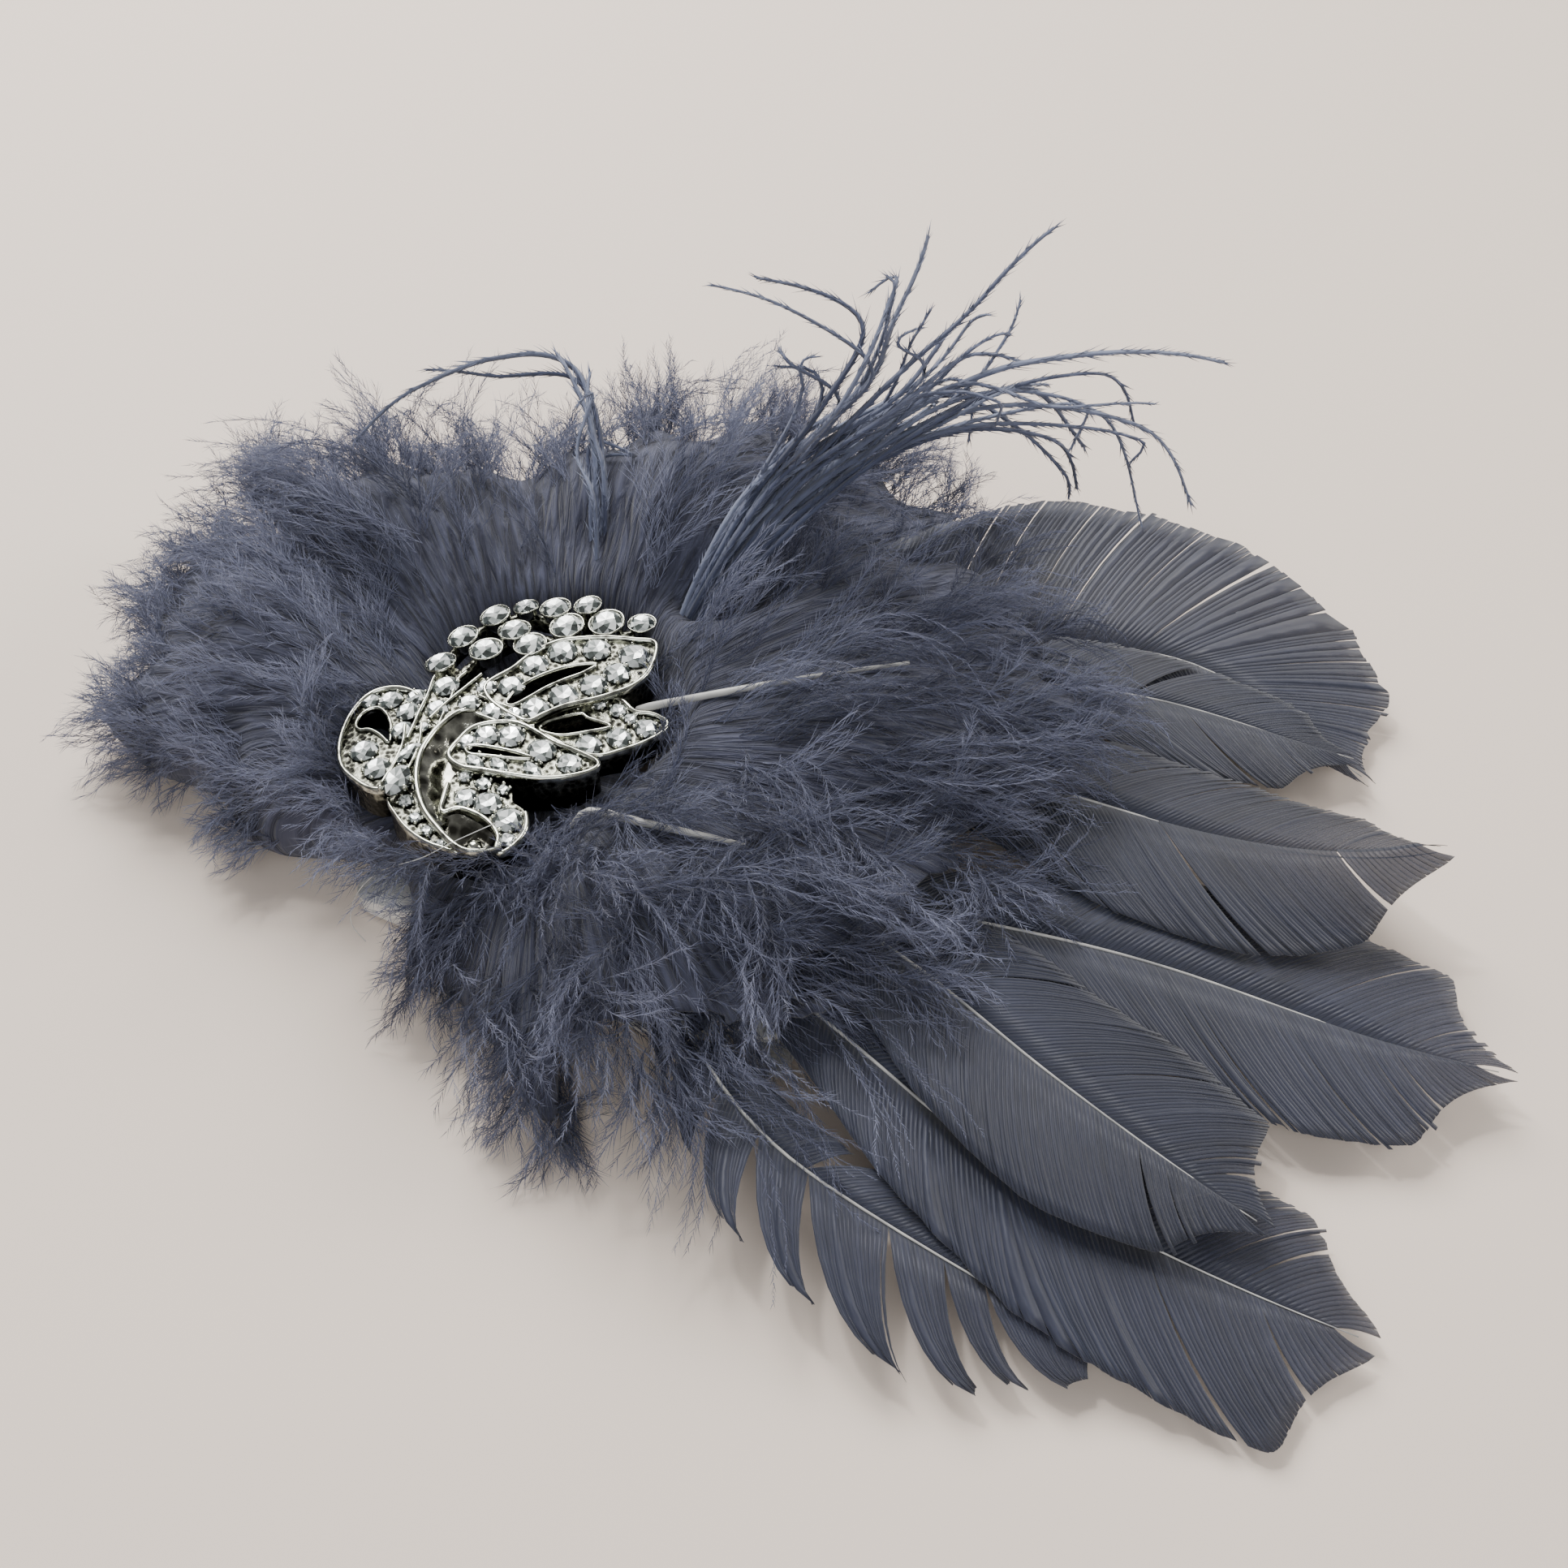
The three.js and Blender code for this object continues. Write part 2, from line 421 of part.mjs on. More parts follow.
// ---- marabou plumes ------------------------------------------------------------------------
// from and to bound a plume's sector in degrees about the hub; tips are the reaches of its outer
// locks across the sector, as shares of down_reach; top and low are its upper and lower height at
// root, crown and tip as shares of down_height; quill is the pale quill that shows
const plumes = [
  { name: 'down_front', from: -113, to: -55, tips: [0.34, 0.36, 0.42, 0.56], top: [0.58, 0.62, 0.26], low: [-0.05, -0.05, 0.02] },
  { name: 'down_front_right', from: -53.5, to: 14, tips: [0.58, 0.66, 0.76, 0.8], top: [0.7, 0.86, 0.6], low: [0.2, 0.3, 0.3], quill: [[0.11, -0.1], [0.46, 0.0]] },
  { name: 'down_right', from: 15.5, to: 52, tips: [0.83, 0.88, 0.88], top: [0.76, 1.0, 0.72], low: [0.4, 0.45, 0.45], quill: [[0.14, 0.09], [0.39, 0.34]] },
  { name: 'down_right_back', from: 53.5, to: 86, tips: [0.92, 0.98, 0.98], top: [0.76, 1.02, 0.66], low: [0.2, 0.25, 0.25] },
  { name: 'down_back', from: 87.5, to: 122, tips: [1.0, 0.92, 0.84], top: [0.72, 1.0, 0.6], low: [0, -0.05, 0.05] },
  { name: 'down_left_back', from: 123.5, to: 157, tips: [0.84, 0.92, 0.98], top: [0.68, 0.96, 0.5], low: [0, -0.05, 0.05] },
  { name: 'down_left', from: 158.5, to: 245.5, tips: [0.93, 0.82, 0.52, 0.3, 0.25], top: [0.6, 0.82, 0.36], low: [0, -0.05, 0.02] },
];

const plumeTop = (row, t) => sample(row.top, t) * down_height;
const plumeLow = (row, t) => sample(row.low, t) * down_height;

// one pointed lock from the head to its tip, between two shares of its reach and of the height
function downLock(row, heading, reach, wide, start, end, bottom, crest) {
  const low = (t) => plumeLow(row, t), at = (t, k) => {
    const a = rad(heading + (t - start) * 5), r = reach * down_reach * t;
    return V(hub_x + Math.cos(a) * r, hub_y + Math.sin(a) * r, low(t) + (plumeTop(row, t) - low(t)) * k);
  };
  const mid = (bottom + crest) / 2, peak = lerp(start, end, 0.5);
  const tall = (plumeTop(row, peak) - low(peak)) * (crest - bottom) / 2;
  const pts = [at(start, mid), at(lerp(start, end, 0.4), mid), at(lerp(start, end, 0.75), mid), at(end, mid * 0.9)];
  return lock(pts, [wide * 0.5, wide, wide * 0.95, wide * 0.2], 6, tall / wide, 5);
}

function plumeSolid(row) {
  const parts = [], n = row.tips.length, span = row.to - row.from, wedge = span / n;
  for (let i = 0; i < n; i++) {
    const heading = row.from + wedge * (i + 0.5);
    const wide = rad(wedge) * row.tips[i] * down_reach * 0.64;
    parts.push(downLock(row, heading, row.tips[i], wide, 0.08, 1, 0, 0.88));
    if (i + 1 < n) {
      const reach = (row.tips[i] + row.tips[i + 1]) / 2;
      parts.push(downLock(row, heading + wedge * 0.5, reach, wide * 0.95, 0.04, 0.8, 0.3, 1));
    }
  }
  if (row.quill) {
    const [[u0, v0], [u1, v1]] = row.quill, z = plumeTop(row, 0.5);
    const q = [[u0, v0, 0.8], [lerp(u0, u1, 0.5), lerp(v0, v1, 0.5), 0.98], [u1, v1, 0.92]]
      .map(([u, v, k]) => V(hub_x + u * fan_reach, hub_y + v * fan_reach, z * k));
    parts.push(lock(q, [quill_diameter / 2, quill_diameter / 2, quill_diameter / 4], 5, 1, 5));
  }
  return union(parts);
}

// wall-less wedge between two headings about the hub
function sector(from, to) {
  const shape = new THREE.Shape();
  const r = down_reach * 1.6, gap = clearance / 2 + 0.02;
  const mid = rad((from + to) / 2), apex = V(hub_x + Math.cos(mid) * gap, hub_y + Math.sin(mid) * gap, 0);
  shape.moveTo(apex.x, apex.y);
  const n = Math.max(2, Math.ceil((to - from) / 40));
  for (let i = 0; i <= n; i++) {
    const a = rad(lerp(from, to, i / n));
    shape.lineTo(apex.x + Math.cos(a) * r, apex.y + Math.sin(a) * r);
  }
  shape.closePath();
  const g = new THREE.ExtrudeGeometry(shape, { depth: 80, bevelEnabled: false });
  g.translate(0, 0, 0.02);
  return solid(g);
}

// ---- ostrich strands -----------------------------------------------------------------------
// from is the head, as shares of fan_reach across and down_height up; every strand runs from it
// through three points and a tip, given as shares of spray_reach from the head
const sprays = [
  { name: 'ostrich_spray', from: [0, 0.219, 0.458], strands: [
    [[0.05, 0.18, 0.21], [0.18, 0.24, 0.44], [0.2, 0.31, 0.56], [0.03, 0.33, 0.59]],
    [[0.11, 0.2, 0.29], [0.22, 0.29, 0.46], [0.28, 0.3, 0.59], [0.31, 0.35, 0.73]],
    [[0.13, 0.2, 0.27], [0.27, 0.31, 0.46], [0.37, 0.37, 0.61], [0.44, 0.45, 0.73]],
    [[0.12, 0.21, 0.29], [0.27, 0.31, 0.43], [0.32, 0.37, 0.51], [0.3, 0.44, 0.56]],
    [[0.16, 0.22, 0.27], [0.34, 0.4, 0.44], [0.51, 0.5, 0.49], [0.69, 0.68, 0.44]],
    [[0.17, 0.23, 0.27], [0.39, 0.39, 0.41], [0.62, 0.49, 0.39], [0.73, 0.5, 0.29]],
    [[0.17, 0.21, 0.26], [0.35, 0.37, 0.36], [0.5, 0.47, 0.33], [0.54, 0.5, 0.24]],
    [[0.12, 0.2, 0.26], [0.28, 0.29, 0.43], [0.35, 0.41, 0.49], [0.4, 0.49, 0.47]],
    [[0.15, 0.22, 0.26], [0.32, 0.36, 0.39], [0.43, 0.47, 0.41], [0.52, 0.51, 0.33]],
    [[0.06, 0.16, 0.21], [0.16, 0.25, 0.39], [0.16, 0.27, 0.47], [0.09, 0.25, 0.49]],
  ] },
  { name: 'ostrich_curl', from: [-0.086, 0.229, 0.458], strands: [
    [[-0.06, 0.12, 0.23], [-0.17, 0.25, 0.36], [-0.29, 0.16, 0.39], [-0.47, 0.02, 0.29]],
    [[-0.05, 0.12, 0.23], [-0.09, 0.16, 0.29], [-0.12, 0.19, 0.33], [-0.2, 0.25, 0.39]],
    [[-0.05, 0.08, 0.19], [-0.07, 0.13, 0.25], [-0.09, 0.17, 0.29], [-0.15, 0.24, 0.37]],
  ] },
];

const sprayHead = (row) => V(hub_x + row.from[0] * fan_reach, hub_y + row.from[1] * fan_reach, row.from[2] * down_height);
const strandPath = (row, s) => [sprayHead(row), ...s.map(([u, v, w]) => sprayHead(row).add(V(u, v, w).multiplyScalar(spray_reach)))];

// the bound foot of a spray, which the strands leave
function sprayFoot(row, grow = 0) {
  const head = sprayHead(row), first = strandPath(row, row.strands[Math.floor(row.strands.length / 2)])[1];
  const r = strand_diameter * (row.strands.length > 6 ? 1.6 : 1.1), beyond = grow / head.distanceTo(first);
  return lock([head.clone().lerp(first, -0.2 - beyond), head, head.clone().lerp(first, 0.7 + beyond)],
    [r * 0.8 + grow, r + grow, r * 0.5 + grow], 6, 0.8, 4);
}

function spraySolid(row) {
  const parts = row.strands.map((s) => lock(strandPath(row, s),
    [strand_diameter * 0.62, strand_diameter * 0.5, strand_diameter * 0.4, strand_diameter * 0.2], 3, 1, 8));
  return union([...parts, sprayFoot(row)]);
}

// room for a spray where it climbs out of the fluff
function sprayRoom(row) {
  const paths = row.strands.map((s) => new THREE.CatmullRomCurve3(strandPath(row, s), false, 'centripetal'));
  const stations = [0, 0.08, 0.22, 0.44].map((t) => {
    const pts = paths.map((c) => c.getPoint(t)), mid = V(0, 0, 0);
    pts.forEach((p) => mid.addScaledVector(p, 1 / pts.length));
    return { mid, r: (Math.max(...pts.map((p) => p.distanceTo(mid))) + strand_diameter * 0.65 + clearance) * 1.22 };
  });
  return union([sprayFoot(row, clearance), lock(stations.map((s) => s.mid), stations.map((s) => s.r), 8, 1, 4)]);
}

// ---- assembly ------------------------------------------------------------------------------
const slate = '#5b5f78', goose_grey = '#565b70', ostrich_blue = '#5d6386', silver = '#b9b6ab';
const clip = clipSolid();
add('clip', clip, '#d6d4ce', 0.35, 0.9);

const brooch = broochSolid();
add('brooch', brooch, silver, 0.3, 1.0);
seats.forEach((seat, i) => add(i < crest.length ? `crest_stone_${i + 1}` : 'drop_stone', seatStone(seat), '#dfe6e6', 0.05, 0.0));

for (const row of goose) add(row.name, gooseSolid(row), goose_grey, 0.7, 0.0);
for (const row of sprays) add(row.name, spraySolid(row), ostrich_blue, 0.8, 0.0);

// room for the brooch: the hull of its bands and cups, grown by the clearance and open above
const footprint = [];
for (const b of [...bands.map((row) => row.at), crest]) {
  for (const [u, v] of b) {
    const out = 1 + (pave_stone * 0.95 + clearance) / (Math.hypot(u * brooch_width, v * brooch_height) + 1e-6);
    const x = bx(u * out), y = by(v * out), z = brooch_lift + lean(y) - clearance;
    footprint.push([x, y, z], [x, y, z + down_height]);
  }
}
const broochRoom = wasm.Manifold.hull(footprint);
const room = union([broochRoom, clipSolid(clearance), fanEnvelope(), ...sprays.map(sprayRoom)]);
for (const row of plumes) {
  const m = plumeSolid(row).intersect(sector(row.from, row.to)).subtract(room);
  add(row.name, mainBody(m, 0.2), slate, 0.95, 0.0);
}

export default group;
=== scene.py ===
import math

import bmesh
import bpy
import numpy as np
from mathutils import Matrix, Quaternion, Vector, geometry
from mathutils.bvhtree import BVHTree


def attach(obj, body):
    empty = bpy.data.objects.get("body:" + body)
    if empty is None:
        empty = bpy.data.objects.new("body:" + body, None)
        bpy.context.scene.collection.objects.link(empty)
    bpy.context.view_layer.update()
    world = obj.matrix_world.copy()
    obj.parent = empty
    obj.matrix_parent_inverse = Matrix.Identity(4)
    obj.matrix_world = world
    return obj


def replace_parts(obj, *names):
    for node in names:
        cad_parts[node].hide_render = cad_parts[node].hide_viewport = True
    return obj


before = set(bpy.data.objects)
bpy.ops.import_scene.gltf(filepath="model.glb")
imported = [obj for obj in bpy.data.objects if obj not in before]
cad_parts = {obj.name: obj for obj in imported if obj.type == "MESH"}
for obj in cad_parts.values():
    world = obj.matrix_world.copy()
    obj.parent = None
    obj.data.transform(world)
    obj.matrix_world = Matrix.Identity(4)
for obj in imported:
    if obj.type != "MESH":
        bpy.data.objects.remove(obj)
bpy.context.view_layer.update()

# The set: a pale, warm sheet under soft daylight from the upper left, seen from the angle of the
# photograph, 45 degrees above the table and 28 degrees round from the clip's long side.
view_turn, view_down, view_width = math.radians(28), math.radians(45), math.radians(45)
view_middle, view_distance = Vector((0.011714, 0.025959, 0.010)), 0.212
look = Vector((-math.sin(view_turn) * math.cos(view_down),
               math.cos(view_turn) * math.cos(view_down), -math.sin(view_down)))
camera = bpy.data.objects.new("camera", bpy.data.cameras.new("camera"))
camera.data.sensor_width = 36
camera.data.lens = camera.data.sensor_width / 2 / math.tan(view_width / 2)
camera.data.clip_start = 0.01
camera.location = view_middle - look * view_distance
camera.rotation_euler = look.to_track_quat("-Z", "Y").to_euler()
bpy.context.scene.collection.objects.link(camera)
bpy.context.scene.camera = camera


def paint(name, colour, roughness, metallic=0.0, **more):
    """A material with its main values on the shader's own sockets."""
    material = bpy.data.materials.new(name)
    material.use_nodes = True
    shader = material.node_tree.nodes["Principled BSDF"]
    shader.inputs["Base Color"].default_value = (*colour, 1)
    shader.inputs["Roughness"].default_value = roughness
    shader.inputs["Metallic"].default_value = metallic
    for socket, value in more.items():
        shader.inputs[socket.replace("_", " ")].default_value = value
    return material


def wire(material, kind, links_in=(), **settings):
    """Adds a node, sets what is named, and joins (input, output socket) pairs to it."""
    node = material.node_tree.nodes.new(kind)
    for key, value in settings.items():
        if key in node.inputs:
            node.inputs[key].default_value = value
        else:
            setattr(node, key, value)
    for socket, source in links_in:
        material.node_tree.links.new(source, node.inputs[socket])
    return node


def join_to(material, socket, source):
    """Joins an output socket to the material's own shader."""
    shader = material.node_tree.nodes["Principled BSDF"]
    material.node_tree.links.new(source, shader.inputs[socket])


def ramp(material, source, stops):
    """Colours over 0 to 1 of a source socket."""
    node = wire(material, "ShaderNodeValToRGB", [("Fac", source)])
    points = node.color_ramp.elements
    while len(points) < len(stops):
        points.new(0.5)
    for point, (place, colour) in zip(points, stops):
        point.position = place
        point.color = (*colour, 1)
    return node.outputs["Color"]


sheet_half, sheet_top = 3, -0.0004
sheet_mesh = bpy.data.meshes.new("table_sheet")
sheet_corners = [(x * sheet_half, y * sheet_half, sheet_top)
                 for x, y in ((-1, -1), (1, -1), (1, 1), (-1, 1))]
sheet_mesh.from_pydata(sheet_corners, [], [(0, 1, 2, 3)])
table_sheet = bpy.data.objects.new("table_sheet", sheet_mesh)
bpy.context.scene.collection.objects.link(table_sheet)
table_sheet.data.materials.append(paint("pale_sheet", (0.70, 0.60, 0.52), 0.75))

# lamps: place, what they aim at, size in metres, watts, colour
for lamp_name, place, aim, size, power, tint in [
        ("window", (-0.42, 0.38, 0.62), (0, 0.02, 0), 0.55, 11.8, (1.0, 0.985, 0.96)),
        ("far_window", (0.55, 0.55, 0.45), (0, 0.02, 0), 0.30, 3.6, (1.0, 0.97, 0.93)),
        ("room", (0.30, -0.60, 0.55), (0, 0.0, 0), 0.60, 4.0, (0.96, 0.98, 1.0)),
        ("glint", (-0.20, 0.10, 0.50), (-0.016, 0.014, 0.018), 0.05, 0.9, (1.0, 1.0, 1.0))]:
    lamp = bpy.data.lights.new(lamp_name, "AREA")
    lamp.size = size
    lamp.energy = power
    lamp.color = tint
    holder = bpy.data.objects.new(lamp_name, lamp)
    holder.location = place
    holder.rotation_euler = (Vector(aim) - Vector(place)).to_track_quat("-Z", "Y").to_euler()
    bpy.context.scene.collection.objects.link(holder)
sky = bpy.data.worlds.new("room_light")
sky.use_nodes = True
sky.node_tree.nodes["Background"].inputs["Color"].default_value = (0.93, 0.92, 0.92, 1)
sky.node_tree.nodes["Background"].inputs["Strength"].default_value = 0.34
bpy.context.scene.world = sky

# The clip: two bright-plated sheet-metal jaws, lying flat under the feathers, with only the rounded
# tip showing. Stamped and folded from one sheet.
clip_metal = paint("plated_sheet", (0.80, 0.79, 0.765), 0.34, 0.35)
place = wire(clip_metal, "ShaderNodeTexCoord").outputs["Object"]
stretch = wire(clip_metal, "ShaderNodeMapping", [("Vector", place)], Scale=(60, 900, 900))
draw_lines = wire(clip_metal, "ShaderNodeTexNoise", [("Vector", stretch.outputs["Vector"])], Scale=4.0,
                  Detail=3.0)
wear = wire(clip_metal, "ShaderNodeTexNoise", [("Vector", place)], Scale=420.0, Detail=4.0)
join_to(clip_metal, "Roughness", wire(clip_metal, "ShaderNodeMapRange", [("Value", wear.outputs["Fac"])],
                                      **{"To Min": 0.2, "To Max": 0.42}).outputs["Result"])
join_to(clip_metal, "Normal", wire(clip_metal, "ShaderNodeBump", [("Height", draw_lines.outputs["Fac"])],
                                   Strength=0.12, Distance=0.0002).outputs["Normal"])
join_to(clip_metal, "Base Color", ramp(clip_metal, wear.outputs["Fac"],
                                       [(0.3, (0.62, 0.61, 0.58)), (0.6, (0.84, 0.83, 0.81))]))
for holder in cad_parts["clip"].material_slots:
    holder.material = clip_metal

# The brooch: one silver-tone casting of leaves, bands and a scroll, pierced between the leaves, each
# part edged with a raised polished rim. Its floors are darkened, and small beads of metal hold the
# round stones in rows. Cast in one piece, plated, then antiqued in the recesses.
brooch_centre, brooch_size = (-16.5, 13.5), (34.0, 40.0)
underside, lean_rise, wall_height, dome_height = 13.8, 2.5, 2.9, 2.0


def brooch_base(x, y):
    """Height of the casting's underside, which rises towards the crest, in mm."""
    return underside + lean_rise * (y - brooch_centre[1]) / brooch_size[1]


def brooch_top(x, y):
    """Height of the casting's domed top, in mm."""
    u, v = (x - brooch_centre[0]) / brooch_size[0], (y - brooch_centre[1]) / brooch_size[1]
    return brooch_base(x, y) + wall_height + dome_height * (1 - 3.4 * u * u - 0.6 * v * v)


def brooch_lean(x, y):
    """Upward direction of the casting's top."""
    e = 0.4
    return Vector(((brooch_top(x - e, y) - brooch_top(x + e, y)) / (2 * e),
                   (brooch_top(x, y - e) - brooch_top(x, y + e)) / (2 * e), 1)).normalized()


def smooth_line(points, closed=False, step=0.35):
    """Evenly spaced points on a soft curve through the given ones."""
    p = np.array(points, float)
    n = len(p)
    spans = n if closed else n - 1
    fine = []
    for i in range(spans):
        if closed:
            a, b, c, d = p[(i - 1) % n], p[i], p[(i + 1) % n], p[(i + 2) % n]
        else:
            a, b, c, d = p[max(i - 1, 0)], p[i], p[i + 1], p[min(i + 2, n - 1)]
        for t in np.arange(0, 1, 0.1):
            fine.append(0.5 * (2 * b + (c - a) * t + (2 * a - 5 * b + 4 * c - d) * t ** 2
                               + (3 * b - a - 3 * c + d) * t ** 3))
    fine.append(p[0] if closed else p[-1])
    fine = np.array(fine)
    run = np.r_[0, np.cumsum(np.linalg.norm(np.diff(fine, axis=0), axis=1))]
    count = max(3, int(round(run[-1] / step)))
    at = np.linspace(0, run[-1], count + 1)
    line = np.stack([np.interp(at, run, fine[:, k]) for k in range(p.shape[1])], 1)
    return line[:-1] if closed else line


def shell_of(rings, closed=False):
    """Corners and faces of a skin through equal rings, with its two ends filled if it is open."""
    rings = np.array(rings)
    n, k = rings.shape[:2]
    faces = []
    for i in range(n if closed else n - 1):
        a, b = i * k, (i + 1) % n * k
        faces += [(a + j, a + (j + 1) % k, b + (j + 1) % k, b + j) for j in range(k)]
    if not closed:
        faces += [tuple(range(k - 1, -1, -1)), tuple(range((n - 1) * k, n * k))]
    return rings.reshape(-1, 3), faces


def drawn_along(line, heights, profile, closed=False, taper=None):
    """A bar with a fixed section, (across, up) from the line, at the given heights."""
    line, heights = np.array(line, float)[:, :2], np.array(heights, float)
    ahead = np.roll(line, -1, 0) - np.roll(line, 1, 0) if closed else np.gradient(line, axis=0)
    ahead /= np.linalg.norm(ahead, axis=1)[:, None] + 1e-9
    left = np.stack([-ahead[:, 1], ahead[:, 0]], 1)
    taper = np.ones(len(line)) if taper is None else taper
    rings = [[(*(line[i] + left[i] * a * taper[i]), heights[i] + b) for a, b in profile]
             for i in range(len(line))]
    return shell_of(rings, closed)


def within(loop, points):
    """Which points lie inside a closed outline."""
    loop, points = np.array(loop)[:, :2], np.array(points)
    x, y = points[:, 0], points[:, 1]
    hit = np.zeros(len(points), bool)
    for (x0, y0), (x1, y1) in zip(loop, np.roll(loop, -1, 0)):
        cross = ((y0 > y) != (y1 > y)) & (x < (x1 - x0) * (y - y0) / (y1 - y0 + 1e-12) + x0)
        hit ^= cross
    return hit


def cut_plate(outline, windows, top, bottom, grain=0.75):
    """A cast plate: its outline with windows cut through, from bottom(x, y) up to top(x, y)."""
    loops = [outline] + windows
    flat, edges = [], []
    for loop in loops:
        start = len(flat)
        flat += [tuple(p[:2]) for p in loop]
        edges += [(start + i, start + (i + 1) % len(loop)) for i in range(len(loop))]
    rim = np.array(flat)
    low, high = rim.min(0), rim.max(0)
    gx, gy = np.meshgrid(np.arange(low[0], high[0], grain), np.arange(low[1], high[1], grain))
    inner = np.stack([gx.ravel(), gy.ravel()], 1)
    near = np.min(np.linalg.norm(inner[:, None] - rim[None], axis=2), axis=1)
    keep = within(outline, inner) & (near > grain * 0.5)
    for window in windows:
        keep &= ~within(window, inner)
    flat += [tuple(p) for p in inner[keep]]
    made = geometry.delaunay_2d_cdt([Vector(p) for p in flat], edges, [], 0, 1e-6)
    points, faces = np.array([tuple(v) for v in made[0]]), [tuple(f) for f in made[2]]
    middle = np.array([points[list(f)].mean(0) for f in faces])
    solid = within(outline, middle)
    for window in windows:
        solid &= ~within(window, middle)
    faces = [f for f, s in zip(faces, solid) if s]
    n = len(points)
    upper = [(x, y, top(x, y)) for x, y in points]
    lower = [(x, y, min(bottom(x, y), top(x, y) - 0.3)) for x, y in points]
    sides = {}
    for f in faces:
        for a, b in zip(f, f[1:] + f[:1]):
            sides[(a, b)] = True
    walls = [(a, a + n, b + n, b) for a, b in sides if (b, a) not in sides]
    return np.array(upper + lower), faces + [tuple(i + n for i in reversed(f)) for f in faces] + walls


def cast(name, shells, materials, smooth_angle=0.9):
    """One piece from closed shells (corners in mm, faces, which material), faces turned outwards."""
    mesh = bmesh.new()
    for corners, faces, finish in shells:
        made = [mesh.verts.new(Vector(c) * 0.001) for c in corners]
        for f in faces:
            try:
                face = mesh.faces.new([made[i] for i in f])
            except ValueError:
                continue
            face.material_index = finish
            face.smooth = True
    mesh.verts.ensure_lookup_table()
    loose = [v for v in mesh.verts if not v.link_faces]
    bmesh.ops.delete(mesh, geom=loose, context="VERTS")
    bmesh.ops.recalc_face_normals(mesh, faces=mesh.faces)
    for edge in mesh.edges:
        if len(edge.link_faces) == 2 and edge.calc_face_angle(0) > smooth_angle:
            edge.smooth = False
    data = bpy.data.meshes.new(name)
    mesh.to_mesh(data)
    mesh.free()
    for material in materials:
        data.materials.append(material)
    piece = bpy.data.objects.new(name, data)
    bpy.context.scene.collection.objects.link(piece)
    return piece


# outline, windows and lift of each pierced leaf, in mm on the table's plane
leaves = [
    ([(-20.5, 16.3), (-19.3, 19.4), (-18.9, 21.3), (-18.3, 23.3), (-17.1, 25.4), (-14.9, 27.2), (-12, 28.9),
      (-9.5, 30), (-7.4, 30.8), (-6.2, 28.7), (-5.7, 26), (-6.2, 23.6), (-7.5, 21.4), (-8.8, 19.7),
      (-10.9, 17.4), (-12.2, 15.3), (-13.2, 13.5), (-14.9, 13.4), (-17.3, 13.8), (-19.4, 14.7)],
     [[(-16.8, 14.6), (-17.1, 16.5), (-16.5, 18.7), (-15.2, 21), (-13.6, 22.9), (-11.3, 24.5), (-11.9, 22.6),
       (-13.2, 20.6), (-14.3, 18.6), (-15.1, 16.6), (-15.9, 14.9)]], 0.5),
    ([(-13.6, 13.5), (-12.8, 15.3), (-11.4, 17.6), (-10.1, 20), (-8.3, 21.6), (-6.4, 21.9), (-4.4, 21.3),
      (-2.6, 22.1), (-0.7, 22), (-0.5, 20.4), (-1.4, 18.1), (-2.8, 15.9), (-4.5, 13.8), (-6.9, 13.1),
      (-9.7, 13.2)],
     [[(-12.1, 13.8), (-11.9, 15.1), (-10.7, 16.6), (-9.3, 18), (-8.3, 17.8), (-5.6, 18.1), (-7.2, 16.2),
       (-9.3, 14.3), (-10.9, 13.7)]], -0.35),
    ([(-18, 5.3), (-18.2, 7.7), (-17.9, 9.7), (-16.4, 11.3), (-14.3, 12.4), (-12.1, 12.5), (-8.9, 12.1),
      (-6.3, 12.3), (-3.5, 12.2), (-3.6, 10.8), (-5.2, 8.9), (-7.5, 7.2), (-10.5, 6), (-13.3, 5.2),
      (-15.9, 4.5)],
     [[(-16.9, 7), (-16.1, 7.8), (-13.7, 8.5), (-11.3, 9), (-9.7, 9), (-11.6, 8), (-14.1, 7.1),
       (-16.1, 6.4)]], 0.75),
]
loop_plate = [(-27.2, 12.3), (-29.3, 12.8), (-31.2, 12.4), (-32.7, 11.2), (-33.2, 9.1), (-32.6, 6),
              (-31, 2.7), (-28.8, 0.2), (-26.2, -1), (-23.6, -1.5), (-21.9, -0.6), (-22.2, 2), (-23.2, 4.6),
              (-24, 7.5), (-24.9, 10.4)]
loop_window = [(-31.5, 6.3), (-31.9, 8), (-31, 9.3), (-29.6, 9.1), (-27.9, 7.9), (-26.6, 6.3), (-26, 5.1),
               (-27.8, 5.8), (-29.4, 6.1), (-30.5, 5.7)]
scroll_plate = [(-16.4, 4), (-14.1, 4.7), (-11.5, 5), (-9.9, 5), (-8.9, 3.7), (-7.2, 3.3), (-5.8, 1.7),
                (-5.4, -0.2), (-5.9, -2.4), (-6.7, -2.7), (-7.5, -1.1), (-9.1, -0.1), (-11.1, 0.3),
                (-13.2, 0), (-14.4, -1.2), (-15.3, 0.3)]
scroll_well = [(-14.5, -1.4), (-13.2, -0.1), (-11, 0.3), (-9, -0.1), (-7.4, -1.4), (-6.6, -2.8), (-8, -4.1),
               (-10, -4.3), (-12.1, -3.6)]
ridge_line = [(-19.1, 12), (-20.6, 11.2), (-21.3, 9.1), (-21.4, 6.8), (-20.9, 4.2), (-19.6, 1.6),
              (-17.8, -0.6), (-15.6, -2.4), (-13, -3.7), (-10.8, -4.5), (-8.9, -4.6), (-7.2, -3.6),
              (-6.1, -2.5)]
